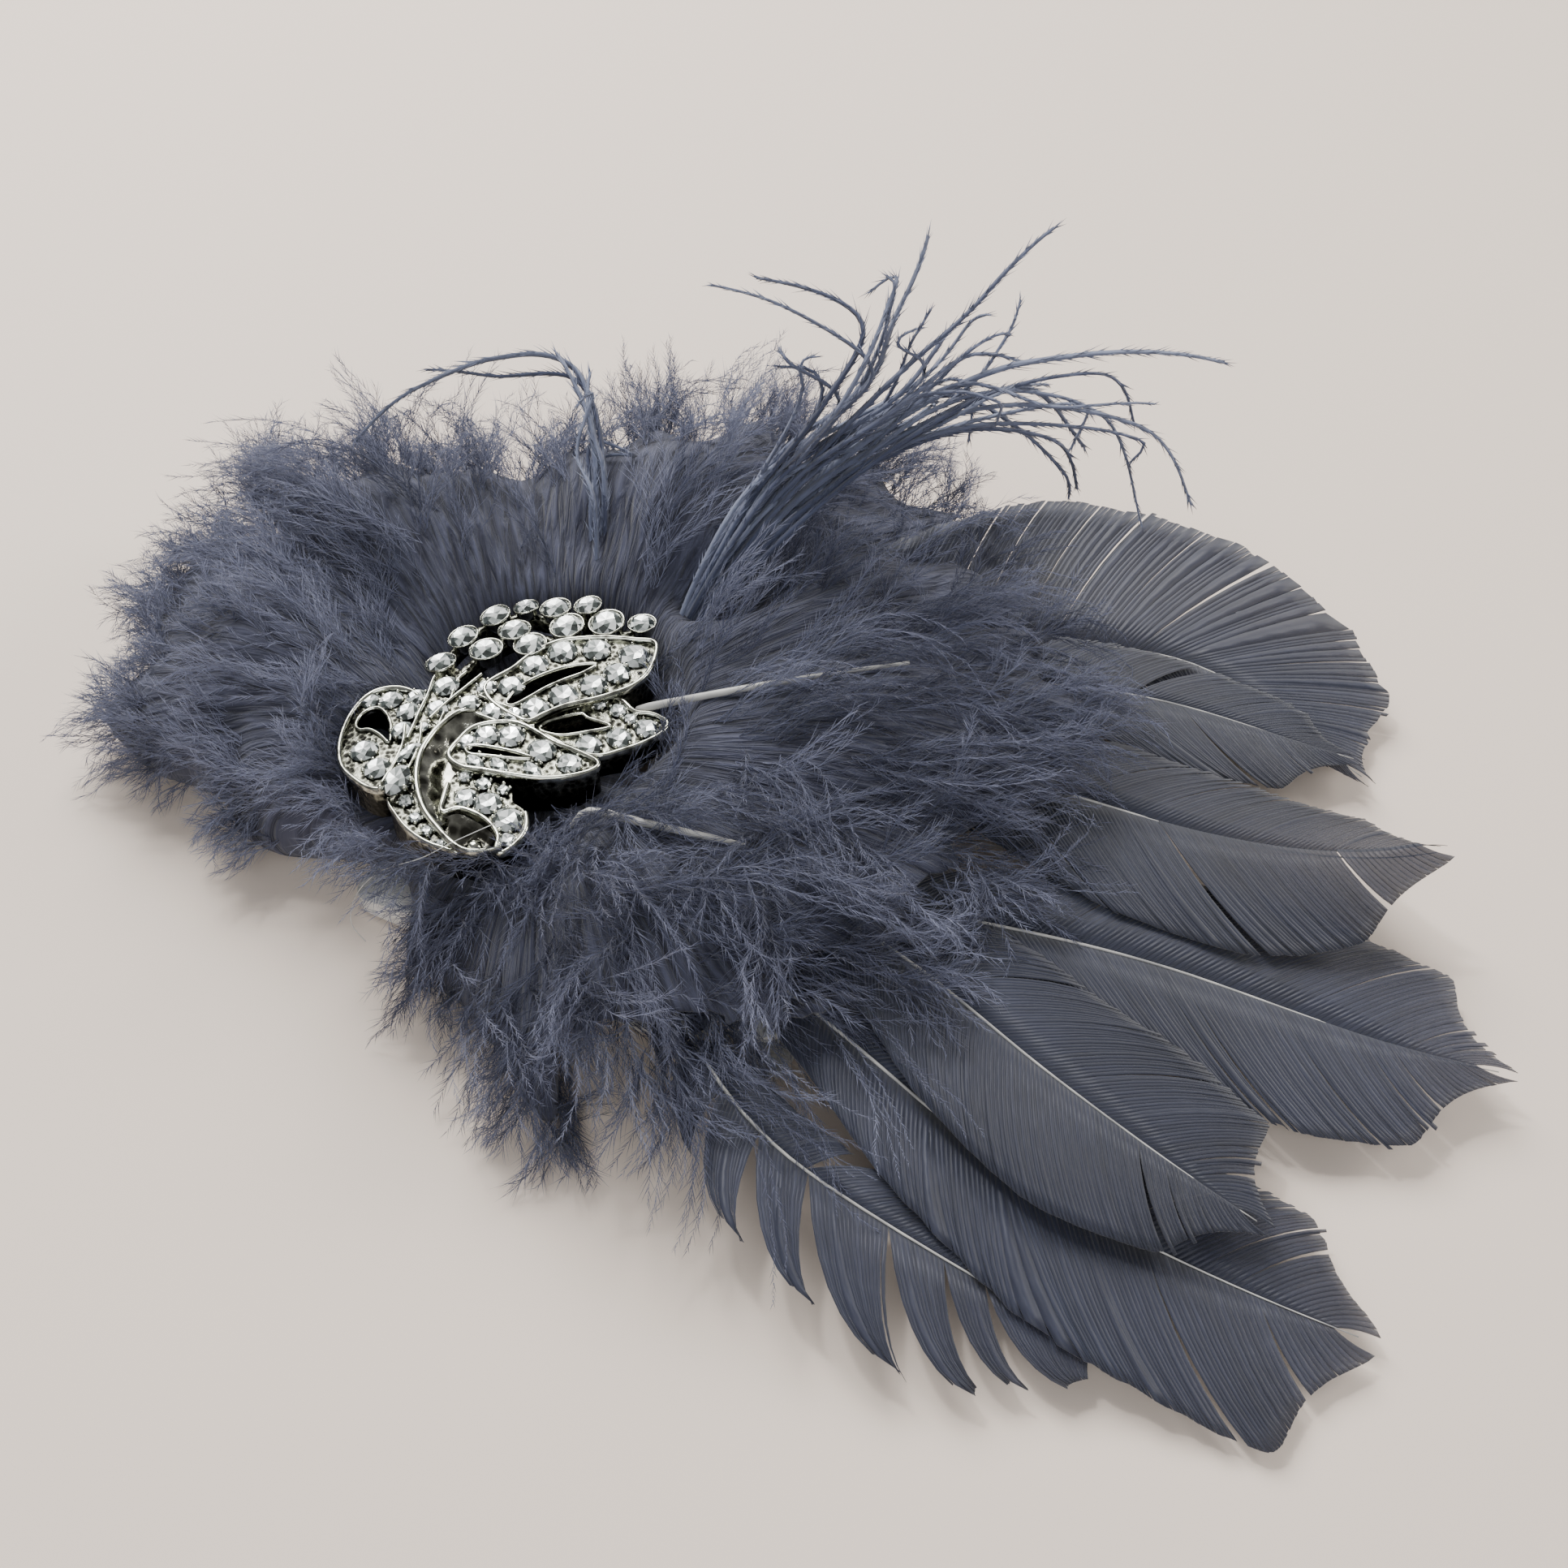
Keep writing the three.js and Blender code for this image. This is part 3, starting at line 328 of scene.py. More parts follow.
crescent_plate = [(-20.8, -2), (-18.8, -3.5), (-16.4, -4.6), (-13.8, -5.1), (-11.6, -4.9), (-10, -4.6),
                  (-12.7, -3.5), (-15.5, -2.2), (-18, -0.5), (-19.6, 1.4), (-20.8, 3.4), (-21.6, 1.2)]
scoop_plate = [(-19.1, 12), (-20.6, 11.2), (-21.3, 9.1), (-21.4, 6.8), (-20.9, 4.2), (-19.6, 1.6),
               (-17.8, -0.6), (-15.6, -2.4), (-13.4, -3.4), (-13.6, -1.2), (-14.9, 0.6), (-15.9, 3.9),
               (-17.9, 5.6), (-17.9, 7.7), (-17.5, 9.8), (-16.4, 11.7)]
# bands between the loop and the leaves: line, half width, lift
bands = [
    ([(-25.4, 17.6), (-25.6, 15.6), (-24.6, 12.9), (-23.9, 10.4), (-23.2, 8.2), (-22.6, 6.2)], 1.35, 0.15),
    ([(-20.9, 17.2), (-21.4, 14.6), (-21.9, 12.0), (-22.2, 9.2)], 1.15, 0.25),
    ([(-20.4, 13.2), (-17.9, 13.1), (-14.6, 13.3), (-12.9, 14.2)], 1.25, 0.35),
    ([(-24.6, 7.9), (-23.0, 5.2), (-22.1, 2.2), (-21.6, -0.6)], 0.9, 0.25),
]
rim_section = [(-0.26, -0.6), (0.26, -0.6), (0.3, -0.1), (0.19, 0.13), (0, 0.2), (-0.19, 0.13), (-0.3, -0.1)]
thin_rim = [(a * 0.72, b * 0.9) for a, b in rim_section]


def on_top(line, lift):
    """Heights along a line that follow the casting's top."""
    return [brooch_top(x, y) + lift for x, y in np.array(line)[:, :2]]


casting = []
for outline, windows, lift in leaves:
    edge, cuts = smooth_line(outline, True), [smooth_line(w, True) for w in windows]
    casting.append((*cut_plate(edge, cuts, lambda x, y: brooch_top(x, y) + lift - 0.5, brooch_base), 1))
    casting.append((*drawn_along(edge, on_top(edge, lift), rim_section, True), 0))
    for cut in cuts:
        casting.append((*drawn_along(cut, on_top(cut, lift - 0.12), thin_rim, True), 0))
edge, cut = smooth_line(loop_plate, True), smooth_line(loop_window, True)
casting.append((*cut_plate(edge, [cut], lambda x, y: brooch_top(x, y) - 0.75, brooch_base), 1))
rim = edge[:int(len(edge) * 0.66)]
casting.append((*drawn_along(rim, on_top(rim, -0.15), rim_section), 0))
casting.append((*drawn_along(cut, on_top(cut, -0.45), thin_rim, True), 0))
edge = smooth_line(scroll_plate, True)
casting.append((*cut_plate(edge, [], lambda x, y: brooch_top(x, y) - 0.35, brooch_base), 1))
rim = edge[int(len(edge) * 0.33):int(len(edge) * 0.96)]
casting.append((*drawn_along(rim, on_top(rim, 0.1), rim_section), 0))
edge = smooth_line(crescent_plate, True)
casting.append((*cut_plate(edge, [], lambda x, y: brooch_top(x, y) - 0.55, brooch_base), 1))
rim = edge[:int(len(edge) * 0.45)]
casting.append((*drawn_along(rim, on_top(rim, -0.15), thin_rim), 0))
edge = smooth_line(scroll_well, True)
casting.append((*cut_plate(edge, [], lambda x, y: brooch_top(x, y) - 2.1
                           + 0.12 * ((x + 10.4) ** 2 + (y + 2) ** 2), brooch_base, 0.5), 2))
edge = smooth_line(scoop_plate, True)
ridge = smooth_line(ridge_line)


def scoop_floor(x, y):
    """Hollow of the polished scoop: deepest in its middle, rising to the ridge round it."""
    away = np.min(np.linalg.norm(ridge[:, :2] - (x, y), axis=1))
    return brooch_top(x, y) + 0.7 - 1.9 * (1 - math.exp(-away / 1.5)) + 0.25 * math.sin(away * 1.7)


casting.append((*cut_plate(edge, [], scoop_floor, brooch_base, 0.5), 2))
swell = np.interp(np.linspace(0, 1, len(ridge)), [0, 0.1, 0.5, 0.9, 1], [0.5, 1, 1.15, 0.9, 0.5])
casting.append((*drawn_along(ridge, on_top(ridge, 0.75), [(a * 1.1, b * 1.1) for a, b in rim_section],
                             taper=swell), 0))
for line, half, lift in bands:
    path = smooth_line(line)
    casting.append((*drawn_along(path, on_top(path, lift), [(-half, -4.5), (half, -4.5), (half, -0.45),
                                                            (-half, -0.45)]), 1))
    for side in (-1, 1):
        beside = [(a + side * half, b) for a, b in thin_rim]
        casting.append((*drawn_along(path, on_top(path, lift), beside), 0))
# rails that carry the crest of cups: line, and depth under the casting's top
rail_section = [(-0.5, -1.6), (0.5, -1.6), (0.55, 0), (0.3, 0.3), (-0.3, 0.3), (-0.55, 0)]
rails = [
    ([(-28.2, 18), (-28.2, 22.5), (-26.7, 26.8), (-23.5, 29.1), (-20.4, 29.7), (-17.2, 31.6), (-13.9, 30.7),
      (-10.1, 32.4)], 1.1),
    ([(-25.4, 17.2), (-24.6, 21.2), (-22.8, 25.4), (-17.1, 27.3), (-14.5, 29.4)], 1.1),
    ([(-19.8, 23.2), (-22.8, 25.4), (-26.7, 26.8)], 1.3),
    ([(-19.8, 23.2), (-17.1, 27.3), (-17.2, 31.6)], 1.3),
]
for line, depth in rails:
    path = smooth_line(line, step=0.6)
    casting.append((*drawn_along(path, on_top(path, -depth), rail_section), 1))


def metal(name, bright, dark, roughness, grain, dents, low, high):
    """Plated casting metal: polished where raised, blackened in its grain, and darker low down, part
    antiquing and part painted shade at the casting's foot.
    """
    material = paint(name, bright, roughness, 1.0)
    place = wire(material, "ShaderNodeTexCoord").outputs["Object"]
    speck = wire(material, "ShaderNodeTexNoise", [("Vector", place)], Scale=grain, Detail=5.0,
                 Roughness=0.65)
    cells = wire(material, "ShaderNodeTexVoronoi", [("Vector", place)], Scale=grain * 1.6)
    mixed = wire(material, "ShaderNodeMath", operation="MULTIPLY")
    material.node_tree.links.new(speck.outputs["Fac"], mixed.inputs[0])
    material.node_tree.links.new(cells.outputs["Distance"], mixed.inputs[1])
    # painted shade mixed with real antiquing: the metal is drawn darker towards the foot of its walls, below
    # 17 mm up, where the down closes round it
    level = wire(material, "ShaderNodeSeparateXYZ", [("Vector", place)])
    height = wire(material, "ShaderNodeMapRange", [("Value", level.outputs["Z"])],
                  **{"From Min": 0.0148, "From Max": 0.0170, "To Min": 0.3, "To Max": 1.0})
    grain_and_painted_shade = wire(material, "ShaderNodeMath", [(0, mixed.outputs["Value"]), (1, height.outputs["Result"])],
                  operation="MULTIPLY")
    join_to(material, "Base Color", ramp(material, grain_and_painted_shade.outputs["Value"], [(low, dark), (high, bright)]))
    join_to(material, "Normal", wire(material, "ShaderNodeBump", [("Height", mixed.outputs["Value"])],
                                     Strength=dents, Distance=0.0003).outputs["Normal"])
    return material


rim_silver = metal("polished_rim_silver", (0.54, 0.55, 0.475), (0.13, 0.13, 0.11),
                   roughness=0.15, grain=500.0, dents=0.1, low=0.06, high=0.26)
floor_silver = metal("antiqued_floor_silver", (0.36, 0.365, 0.30), (0.010, 0.010, 0.008),
                     roughness=0.26, grain=1000.0, dents=0.6, low=0.15, high=0.4)
scoop_silver = metal("burnished_scoop_silver", (0.50, 0.50, 0.43), (0.045, 0.044, 0.036),
                     roughness=0.11, grain=420.0, dents=0.5, low=0.1, high=0.4)
brooch_casting = cast("brooch_casting", casting, [rim_silver, floor_silver, scoop_silver])
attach(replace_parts(brooch_casting, "brooch"), "root")


# The stones: machine-cut clear crystal with a table, eight star and eight main facets, foiled behind.
# The flash of the facets is painted light: each facet has a fixed bright or dark colour, with fine
# painted sparkle over it. Rows of round ones sit in the floors between metal beads, the larger
# ones of the crest in cups of their own, and a big drop at the left is clawed in.
def facing(x, y, turn, tip=(0, 0, 0)):
    """Angles that stand a shape upright on the casting at a point, turned about itself."""
    up = (brooch_lean(x, y) + Vector(tip)).normalized()
    upright = Vector((0, 0, 1)).rotation_difference(up)
    return (upright @ Quaternion((0, 0, 1), turn)).to_euler()


def set_on_points(name, shape, places, turns, sizes, material):
    """Geometry Nodes: a copy of one shape on each point, turned and sized by the point."""
    tree = bpy.data.node_groups.new(name + "_setting", "GeometryNodeTree")
    tree.interface.new_socket("Geometry", in_out="INPUT", socket_type="NodeSocketGeometry")
    shape_socket = tree.interface.new_socket("Shape", in_out="INPUT", socket_type="NodeSocketObject")
    scale_socket = tree.interface.new_socket("Scale", in_out="INPUT", socket_type="NodeSocketFloat")
    tree.interface.new_socket("Geometry", in_out="OUTPUT", socket_type="NodeSocketGeometry")
    start, end = tree.nodes.new("NodeGroupInput"), tree.nodes.new("NodeGroupOutput")
    info = tree.nodes.new("GeometryNodeObjectInfo")
    turn = tree.nodes.new("GeometryNodeInputNamedAttribute")
    turn.data_type = "FLOAT_VECTOR"
    turn.inputs["Name"].default_value = "turn"
    size = tree.nodes.new("GeometryNodeInputNamedAttribute")
    size.data_type = "FLOAT_VECTOR"
    size.inputs["Name"].default_value = "size"
    to_turn = tree.nodes.new("FunctionNodeEulerToRotation")
    scaled = tree.nodes.new("ShaderNodeVectorMath")
    scaled.operation = "SCALE"
    copy = tree.nodes.new("GeometryNodeInstanceOnPoints")
    real = tree.nodes.new("GeometryNodeRealizeInstances")
    finish = tree.nodes.new("GeometryNodeSetMaterial")
    finish.inputs["Material"].default_value = material
    join = tree.links.new
    join(start.outputs["Shape"], info.inputs["Object"])
    join(start.outputs["Geometry"], copy.inputs["Points"])
    join(info.outputs["Geometry"], copy.inputs["Instance"])
    join(turn.outputs["Attribute"], to_turn.inputs["Euler"])
    join(to_turn.outputs["Rotation"], copy.inputs["Rotation"])
    join(size.outputs["Attribute"], scaled.inputs[0])
    join(start.outputs["Scale"], scaled.inputs["Scale"])
    join(scaled.outputs["Vector"], copy.inputs["Scale"])
    join(copy.outputs["Instances"], real.inputs["Geometry"])
    join(real.outputs["Geometry"], finish.inputs["Geometry"])
    join(finish.outputs["Geometry"], end.inputs["Geometry"])
    data = bpy.data.meshes.new(name)
    data.from_pydata([tuple(Vector(p) * 0.001) for p in places], [], [])
    for key, rows in (("turn", turns), ("size", sizes)):
        values = data.attributes.new(key, "FLOAT_VECTOR", "POINT")
        values.data.foreach_set("vector", np.array([tuple(r) for r in rows], np.float32).ravel())
    piece = bpy.data.objects.new(name, data)
    bpy.context.scene.collection.objects.link(piece)
    nodes = piece.modifiers.new("setting", "NODES")
    nodes.node_group = tree
    nodes[shape_socket.identifier] = shape
    nodes[scale_socket.identifier] = 0.001
    graph = bpy.context.evaluated_depsgraph_get()
    plain = bpy.data.meshes.new_from_object(piece.evaluated_get(graph), preserve_all_data_layers=True,
                                            depsgraph=graph)
    piece.modifiers.clear()
    piece.data = plain
    return piece


def pattern(name, corners, faces, flat=True, spark=None):
    """A shape to copy, kept out of the scene once it has been used."""
    data = bpy.data.meshes.new(name)
    data.from_pydata([tuple(c) for c in corners], [], faces)
    if spark is not None:
        data.attributes.new("spark", "FLOAT", "FACE").data.foreach_set("value", spark)
    data.polygons.foreach_set("use_smooth", [not flat] * len(data.polygons))
    shape = bpy.data.objects.new(name, data)
    bpy.context.scene.collection.objects.link(shape)
    return shape


def ring(radius, height, count, off=0):
    """Points evenly round a circle, turned by a share of their spacing."""
    turns = [2 * math.pi * (k + off) / count for k in range(count)]
    return [(radius * math.cos(a), radius * math.sin(a), height) for a in turns]


def brilliant(depth, hollow):
    """A cut stone of diameter 1: table, star, main and girdle facets, with a closed back."""
    corners = ([(0, 0, 0.185 - hollow)] + ring(0.29, 0.185, 8, 0.5) + ring(0.395, 0.115, 8)
               + ring(0.5, 0, 16) + ring(0.5, -0.05, 16) + [(0, 0, -depth)])
    faces = []
    for k in range(8):
        n = (k + 1) % 8
        faces += [(0, 1 + k, 1 + n), (1 + k, 9 + n, 1 + n), (1 + k, 9 + k, 17 + 2 * k + 1, 9 + n),
                  (9 + k, 17 + 2 * k, 17 + 2 * k + 1), (9 + n, 17 + 2 * k + 1, 17 + 2 * n)]
    for k in range(16):
        n = (k + 1) % 16
        faces += [(17 + k, 33 + k, 33 + n, 17 + n), (33 + k, 49, 33 + n)]
    return corners, faces


chance = np.random.default_rng(7)
corners, faces = brilliant(0.3, 0.06)
# painted glint of each facet, how bright its painted reflection is: table, star, main and two girdle facets,
# then the sides and back
spark, back_painted_glint = [], 0.05
for k in range(8):
    spark += [(0.95, 0.55, 0.8)[k % 3], (0.25, 0.7)[k % 2], (0.05, 0.9, 0.15, 0.6)[k % 4],
              (0.5, 0.1)[k % 2], back_painted_glint]
stone_shape = pattern("round_stone", corners, faces, True, spark + [back_painted_glint] * 32)
crystal = paint("foiled_crystal", (0.8, 0.83, 0.83), 0.08, 0.3, IOR=1.56, Coat_Weight=1.0,
                Coat_Roughness=0.02, Coat_IOR=1.56)
painted_glint_fac = wire(crystal, "ShaderNodeAttribute", attribute_name="spark").outputs["Fac"]
stone_place = wire(crystal, "ShaderNodeTexCoord").outputs["Object"]
# painted sparkle: fine noise that brightens the facets' painted glints
painted_sparkle = wire(crystal, "ShaderNodeTexNoise", [("Vector", stone_place)], Scale=1300.0, Detail=2.0)
both = wire(crystal, "ShaderNodeMath", operation="MULTIPLY_ADD")
crystal.node_tree.links.new(painted_sparkle.outputs["Fac"], both.inputs[0])
both.inputs[1].default_value = 0.35
crystal.node_tree.links.new(painted_glint_fac, both.inputs[2])
join_to(crystal, "Base Color", ramp(crystal, both.outputs["Value"], [
    (0.2, (0.022, 0.028, 0.026)), (0.45, (0.12, 0.14, 0.132)), (0.75, (0.40, 0.44, 0.425)),
    (1.0, (0.93, 0.96, 0.95))]))

# x, y, across, along its row, lift over the casting's top
row_stones = [
    (-32.4, 10.2, 2.0, 2.0, -0.6), (-30.1, 11.0, 2.5, 2.5, -0.6), (-27.4, 12.2, 2.1, 2.1, -0.4),
    (-26.8, 9.8, 2.4, 2.4, -0.3), (-25.5, 7.0, 2.3, 2.3, -0.2), (-28.0, 3.2, 2.8, 2.8, -0.6),
    (-24.9, 1.4, 2.7, 2.7, -0.5), (-23.7, 11.2, 2.4, 2.4, -0.1), (-25.0, 14.6, 2.7, 2.7, -0.1),
    (-20.3, 15.9, 2.1, 2.1, 0.2), (-17.9, 17.3, 2.7, 2.7, 0.2), (-17.4, 21.2, 2.8, 2.8, 0.2),
    (-15.8, 24.5, 3.0, 3.0, 0.2), (-12.6, 26.6, 2.9, 2.9, 0.2), (-8.4, 27.9, 3.2, 3.2, 0.2),
    (-8.7, 24.6, 2.7, 2.7, 0.2), (-10.0, 21.7, 2.8, 2.8, 0.2), (-12.0, 18.7, 2.9, 2.9, 0.2),
    (-13.7, 15.6, 2.8, 2.8, 0.2), (-20.8, 13.1, 2.3, 2.3, 0.1), (-17.6, 13.2, 2.4, 2.4, 0.1),
    (-15.2, 13.7, 2.0, 2.0, 0.2), (-17.3, 7.9, 1.9, 1.9, 0.45), (-16.0, 9.6, 2.5, 2.5, 0.45),
    (-13.6, 10.7, 2.7, 2.7, 0.45), (-9.6, 10.6, 2.8, 2.8, 0.45), (-6.1, 10.6, 2.4, 2.4, 0.45),
    (-15.0, 5.8, 1.35, 2.3, 0.45), (-12.5, 6.6, 1.35, 2.3, 0.45), (-9.0, 7.8, 1.35, 2.3, 0.45),
    (-6.3, 14.6, 2.6, 2.6, -0.65), (-4.1, 17.3, 2.5, 2.5, -0.65), (-2.3, 20.1, 2.3, 2.3, -0.65),
    (-13.4, 1.6, 2.2, 2.2, -0.1), (-10.9, 2.1, 2.6, 2.6, -0.1), (-7.9, 1.3, 2.8, 2.8, -0.1),
    (-6.5, -0.9, 1.6, 1.6, -0.1), (-8.5, 20.3, 1.5, 1.5, -0.65), (-6.2, 20.6, 1.7, 1.7, -0.65),
    (-10.6, 18.9, 1.2, 1.2, -0.65), (-4.4, 20.3, 1.3, 1.3, -0.65), (-22.6, 4.2, 1.3, 3.1, 0.1),
    (-16.7, -2.9, 1.3, 1.3, -0.3), (-14.6, -3.8, 1.2, 1.2, -0.3), (-19.0, -1.4, 1.5, 1.5, -0.3),
    (-20.4, 0.6, 1.1, 1.1, -0.3), (-15.1, 4.0, 1.3, 1.3, -0.1), (-12.8, 4.1, 1.5, 1.5, -0.1),
    (-10.5, 4.4, 1.2, 1.2, -0.1), (-12.4, -4.5, 0.9, 0.9, -0.3), (-23.4, 8.2, 1.2, 1.2, 0.0),
]
# the long stones lie along their rows, by their x; the round ones are turned at random
slant = {-15.0: 1.25, -12.5: 1.25, -9.0: 1.2, -22.6: -0.25}
full_turn, seat, spread = 6.28, 0.05, 1.16
places, turns, sizes = [], [], []
for x, y, across, along, lift in row_stones:
    places.append((x, y, brooch_top(x, y) + lift + seat))
    turns.append(facing(x, y, slant[x] if x in slant else chance.uniform(0, full_turn)))
    sizes.append((across * spread, along * spread, (across + along) / 2))
row_crystals = set_on_points("row_crystals", stone_shape, places, turns, sizes, crystal)
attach(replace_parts(row_crystals, "brooch"), "root")

# the crest's stones: share across, share up and share of the crest stone's size; the drop is in mm
crest_stone, drop_place, drop_size = 3.8, (-20.75, -0.3), (2.9, 4.1, 3.9)
crest = [(-0.324, 0.093, 0.88), (-0.328, 0.21, 0.88), (-0.287, 0.322, 0.88), (-0.212, 0.388, 0.72),
         (-0.115, 0.418, 0.88), (-0.022, 0.468, 0.8), (0.08, 0.43, 1.0), (0.185, 0.477, 0.8),
         (-0.215, 0.187, 0.94), (-0.18, 0.288, 0.92), (-0.03, 0.366, 0.96), (-0.092, 0.255, 0.92)]
places, turns, sizes = [], [], []
for u, v, share in crest:
    x, y = brooch_centre[0] + u * brooch_size[0], brooch_centre[1] + v * brooch_size[1]
    places.append((x, y, brooch_top(x, y) + 0.45))
    own_turn = chance.uniform(0, full_turn)
    tip = (-0.12 + chance.uniform(-0.08, 0.08), 0.02 + chance.uniform(-0.1, 0.1), 0)
    turns.append(facing(x, y, own_turn, tip))
    sizes.append((crest_stone * share,) * 3)
places.append((*drop_place, brooch_top(*drop_place) + 1.0))
turns.append(facing(*drop_place, 0.25, (-0.1, -0.12, 0)))
sizes.append(drop_size)
crest_crystals = set_on_points("crest_crystals", stone_shape, places, turns, sizes, crystal)
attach(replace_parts(crest_crystals, *[f"crest_stone_{i}" for i in range(1, 13)], "drop_stone"), "root")


# The cups: each crest stone sits in a thin turned cup with a rolled lip, soldered to the rails, with
# its floor below the stone. Radius and height of the section are shares of the stone's diameter.
section = [(0, -0.5), (0.36, -0.5), (0.47, -0.3), (0.535, -0.06), (0.575, 0.0), (0.555, 0.05), (0.51, 0.03),
           (0.49, -0.07), (0, -0.32)]
sides = 24
rings = [ring(r, z, sides) for r, z in section[1:-1]]
corners = [(0, 0, section[0][1])] + [c for level in rings for c in level] + [(0, 0, section[-1][1])]
faces = [(0, 1 + (k + 1) % sides, 1 + k) for k in range(sides)]
for i in range(len(rings) - 1):
    a, b = 1 + i * sides, 1 + (i + 1) * sides
    faces += [(a + k, a + (k + 1) % sides, b + (k + 1) % sides, b + k) for k in range(sides)]
last = 1 + (len(rings) - 1) * sides
faces += [(last + k, last + (k + 1) % sides, len(corners) - 1) for k in range(sides)]
cup_shape = pattern("stone_cup", corners, faces, False)
crest_cups = set_on_points("crest_cups", cup_shape, places[:12], turns[:12], sizes[:12], rim_silver)
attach(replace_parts(crest_cups, "brooch"), "root")


# The holding beads: small beads of the casting's metal, five round each stone of the rows and four
# round the drop, pressed over its edge, and the bright bead that ends the scroll.
ball = bmesh.new()
bmesh.ops.create_icosphere(ball, subdivisions=1, radius=1.0)
bead_faces = [[v.index for v in f.verts] for f in ball.faces]
bead_shape = pattern("holding_bead", [v.co[:] for v in ball.verts], bead_faces, False)
ball.free()
places, turns, sizes = [], [], []
for x, y, across, along, lift in row_stones:
    if across > 1.15:
        first = chance.uniform(0, 1.5)
        for k in range(5):
            a = first + 2 * math.pi * k / 5
            bx, by = x + math.cos(a) * (across / 2 + 0.16), y + math.sin(a) * (along / 2 + 0.16)
            size = chance.uniform(0.2, 0.31)
            places.append((bx, by, brooch_top(bx, by) + lift + 0.05))
            turns.append((0, 0, 0))
            sizes.append((size, size, size * 1.2))
for a in np.linspace(0.3, 6.0, 4):
    bx, by = drop_place[0] + math.cos(a) * 1.5, drop_place[1] + math.sin(a) * 2.1
    places.append((bx, by, brooch_top(bx, by) + 1.0))
    turns.append((0, 0, 0))
    sizes.append((0.34, 0.34, 0.5))
end_bead = (-9.3, -3.0)
places.append((*end_bead, brooch_top(*end_bead) - 0.9))
turns.append((0, 0, 0))
sizes.append((1.15, 1.0, 0.95))
holding_beads = set_on_points("holding_beads", bead_shape, places, turns, sizes, rim_silver)
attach(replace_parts(holding_beads, "brooch"), "root")
for shape in (stone_shape, cup_shape, bead_shape):
    bpy.data.objects.remove(shape)


# The vaned feathers: seven dyed goose feathers, shingled in a fan to the right. Each has a pale shaft
# and a vane of barbs that lie edge to edge, part in splits and end in a ragged edge, thin enough for
# the light and the feather below to show through.
hub = np.array([-10.0, 12.0])
fan_reach, vane_width, fan_lift, fan_drop, layer_step = 105.0, 15.0, 8.1, 7.6, 1.15


def ease(t):
    """A soft step from 0 to 1."""
    t = np.clip(t, 0, 1)
    return t * t * (3 - 2 * t)


def fan_height(x, y):
    """Height of the fan's underside, which falls towards its tips, in mm."""
    return fan_lift - fan_drop * ease((np.hypot(x - hub[0], y - hub[1]) / fan_reach - 0.42) / 0.55)


def along_row(row, t):
    """Value of a short row of samples spread evenly over 0 to 1."""
    f = np.clip(t, 0, 1) * (len(row) - 1)
    i = np.minimum(len(row) - 2, np.floor(f).astype(int))
    row, k = np.array(row, float), f - i
    return row[i] + (row[i + 1] - row[i]) * (ease(k) * 0.5 + k * 0.5)
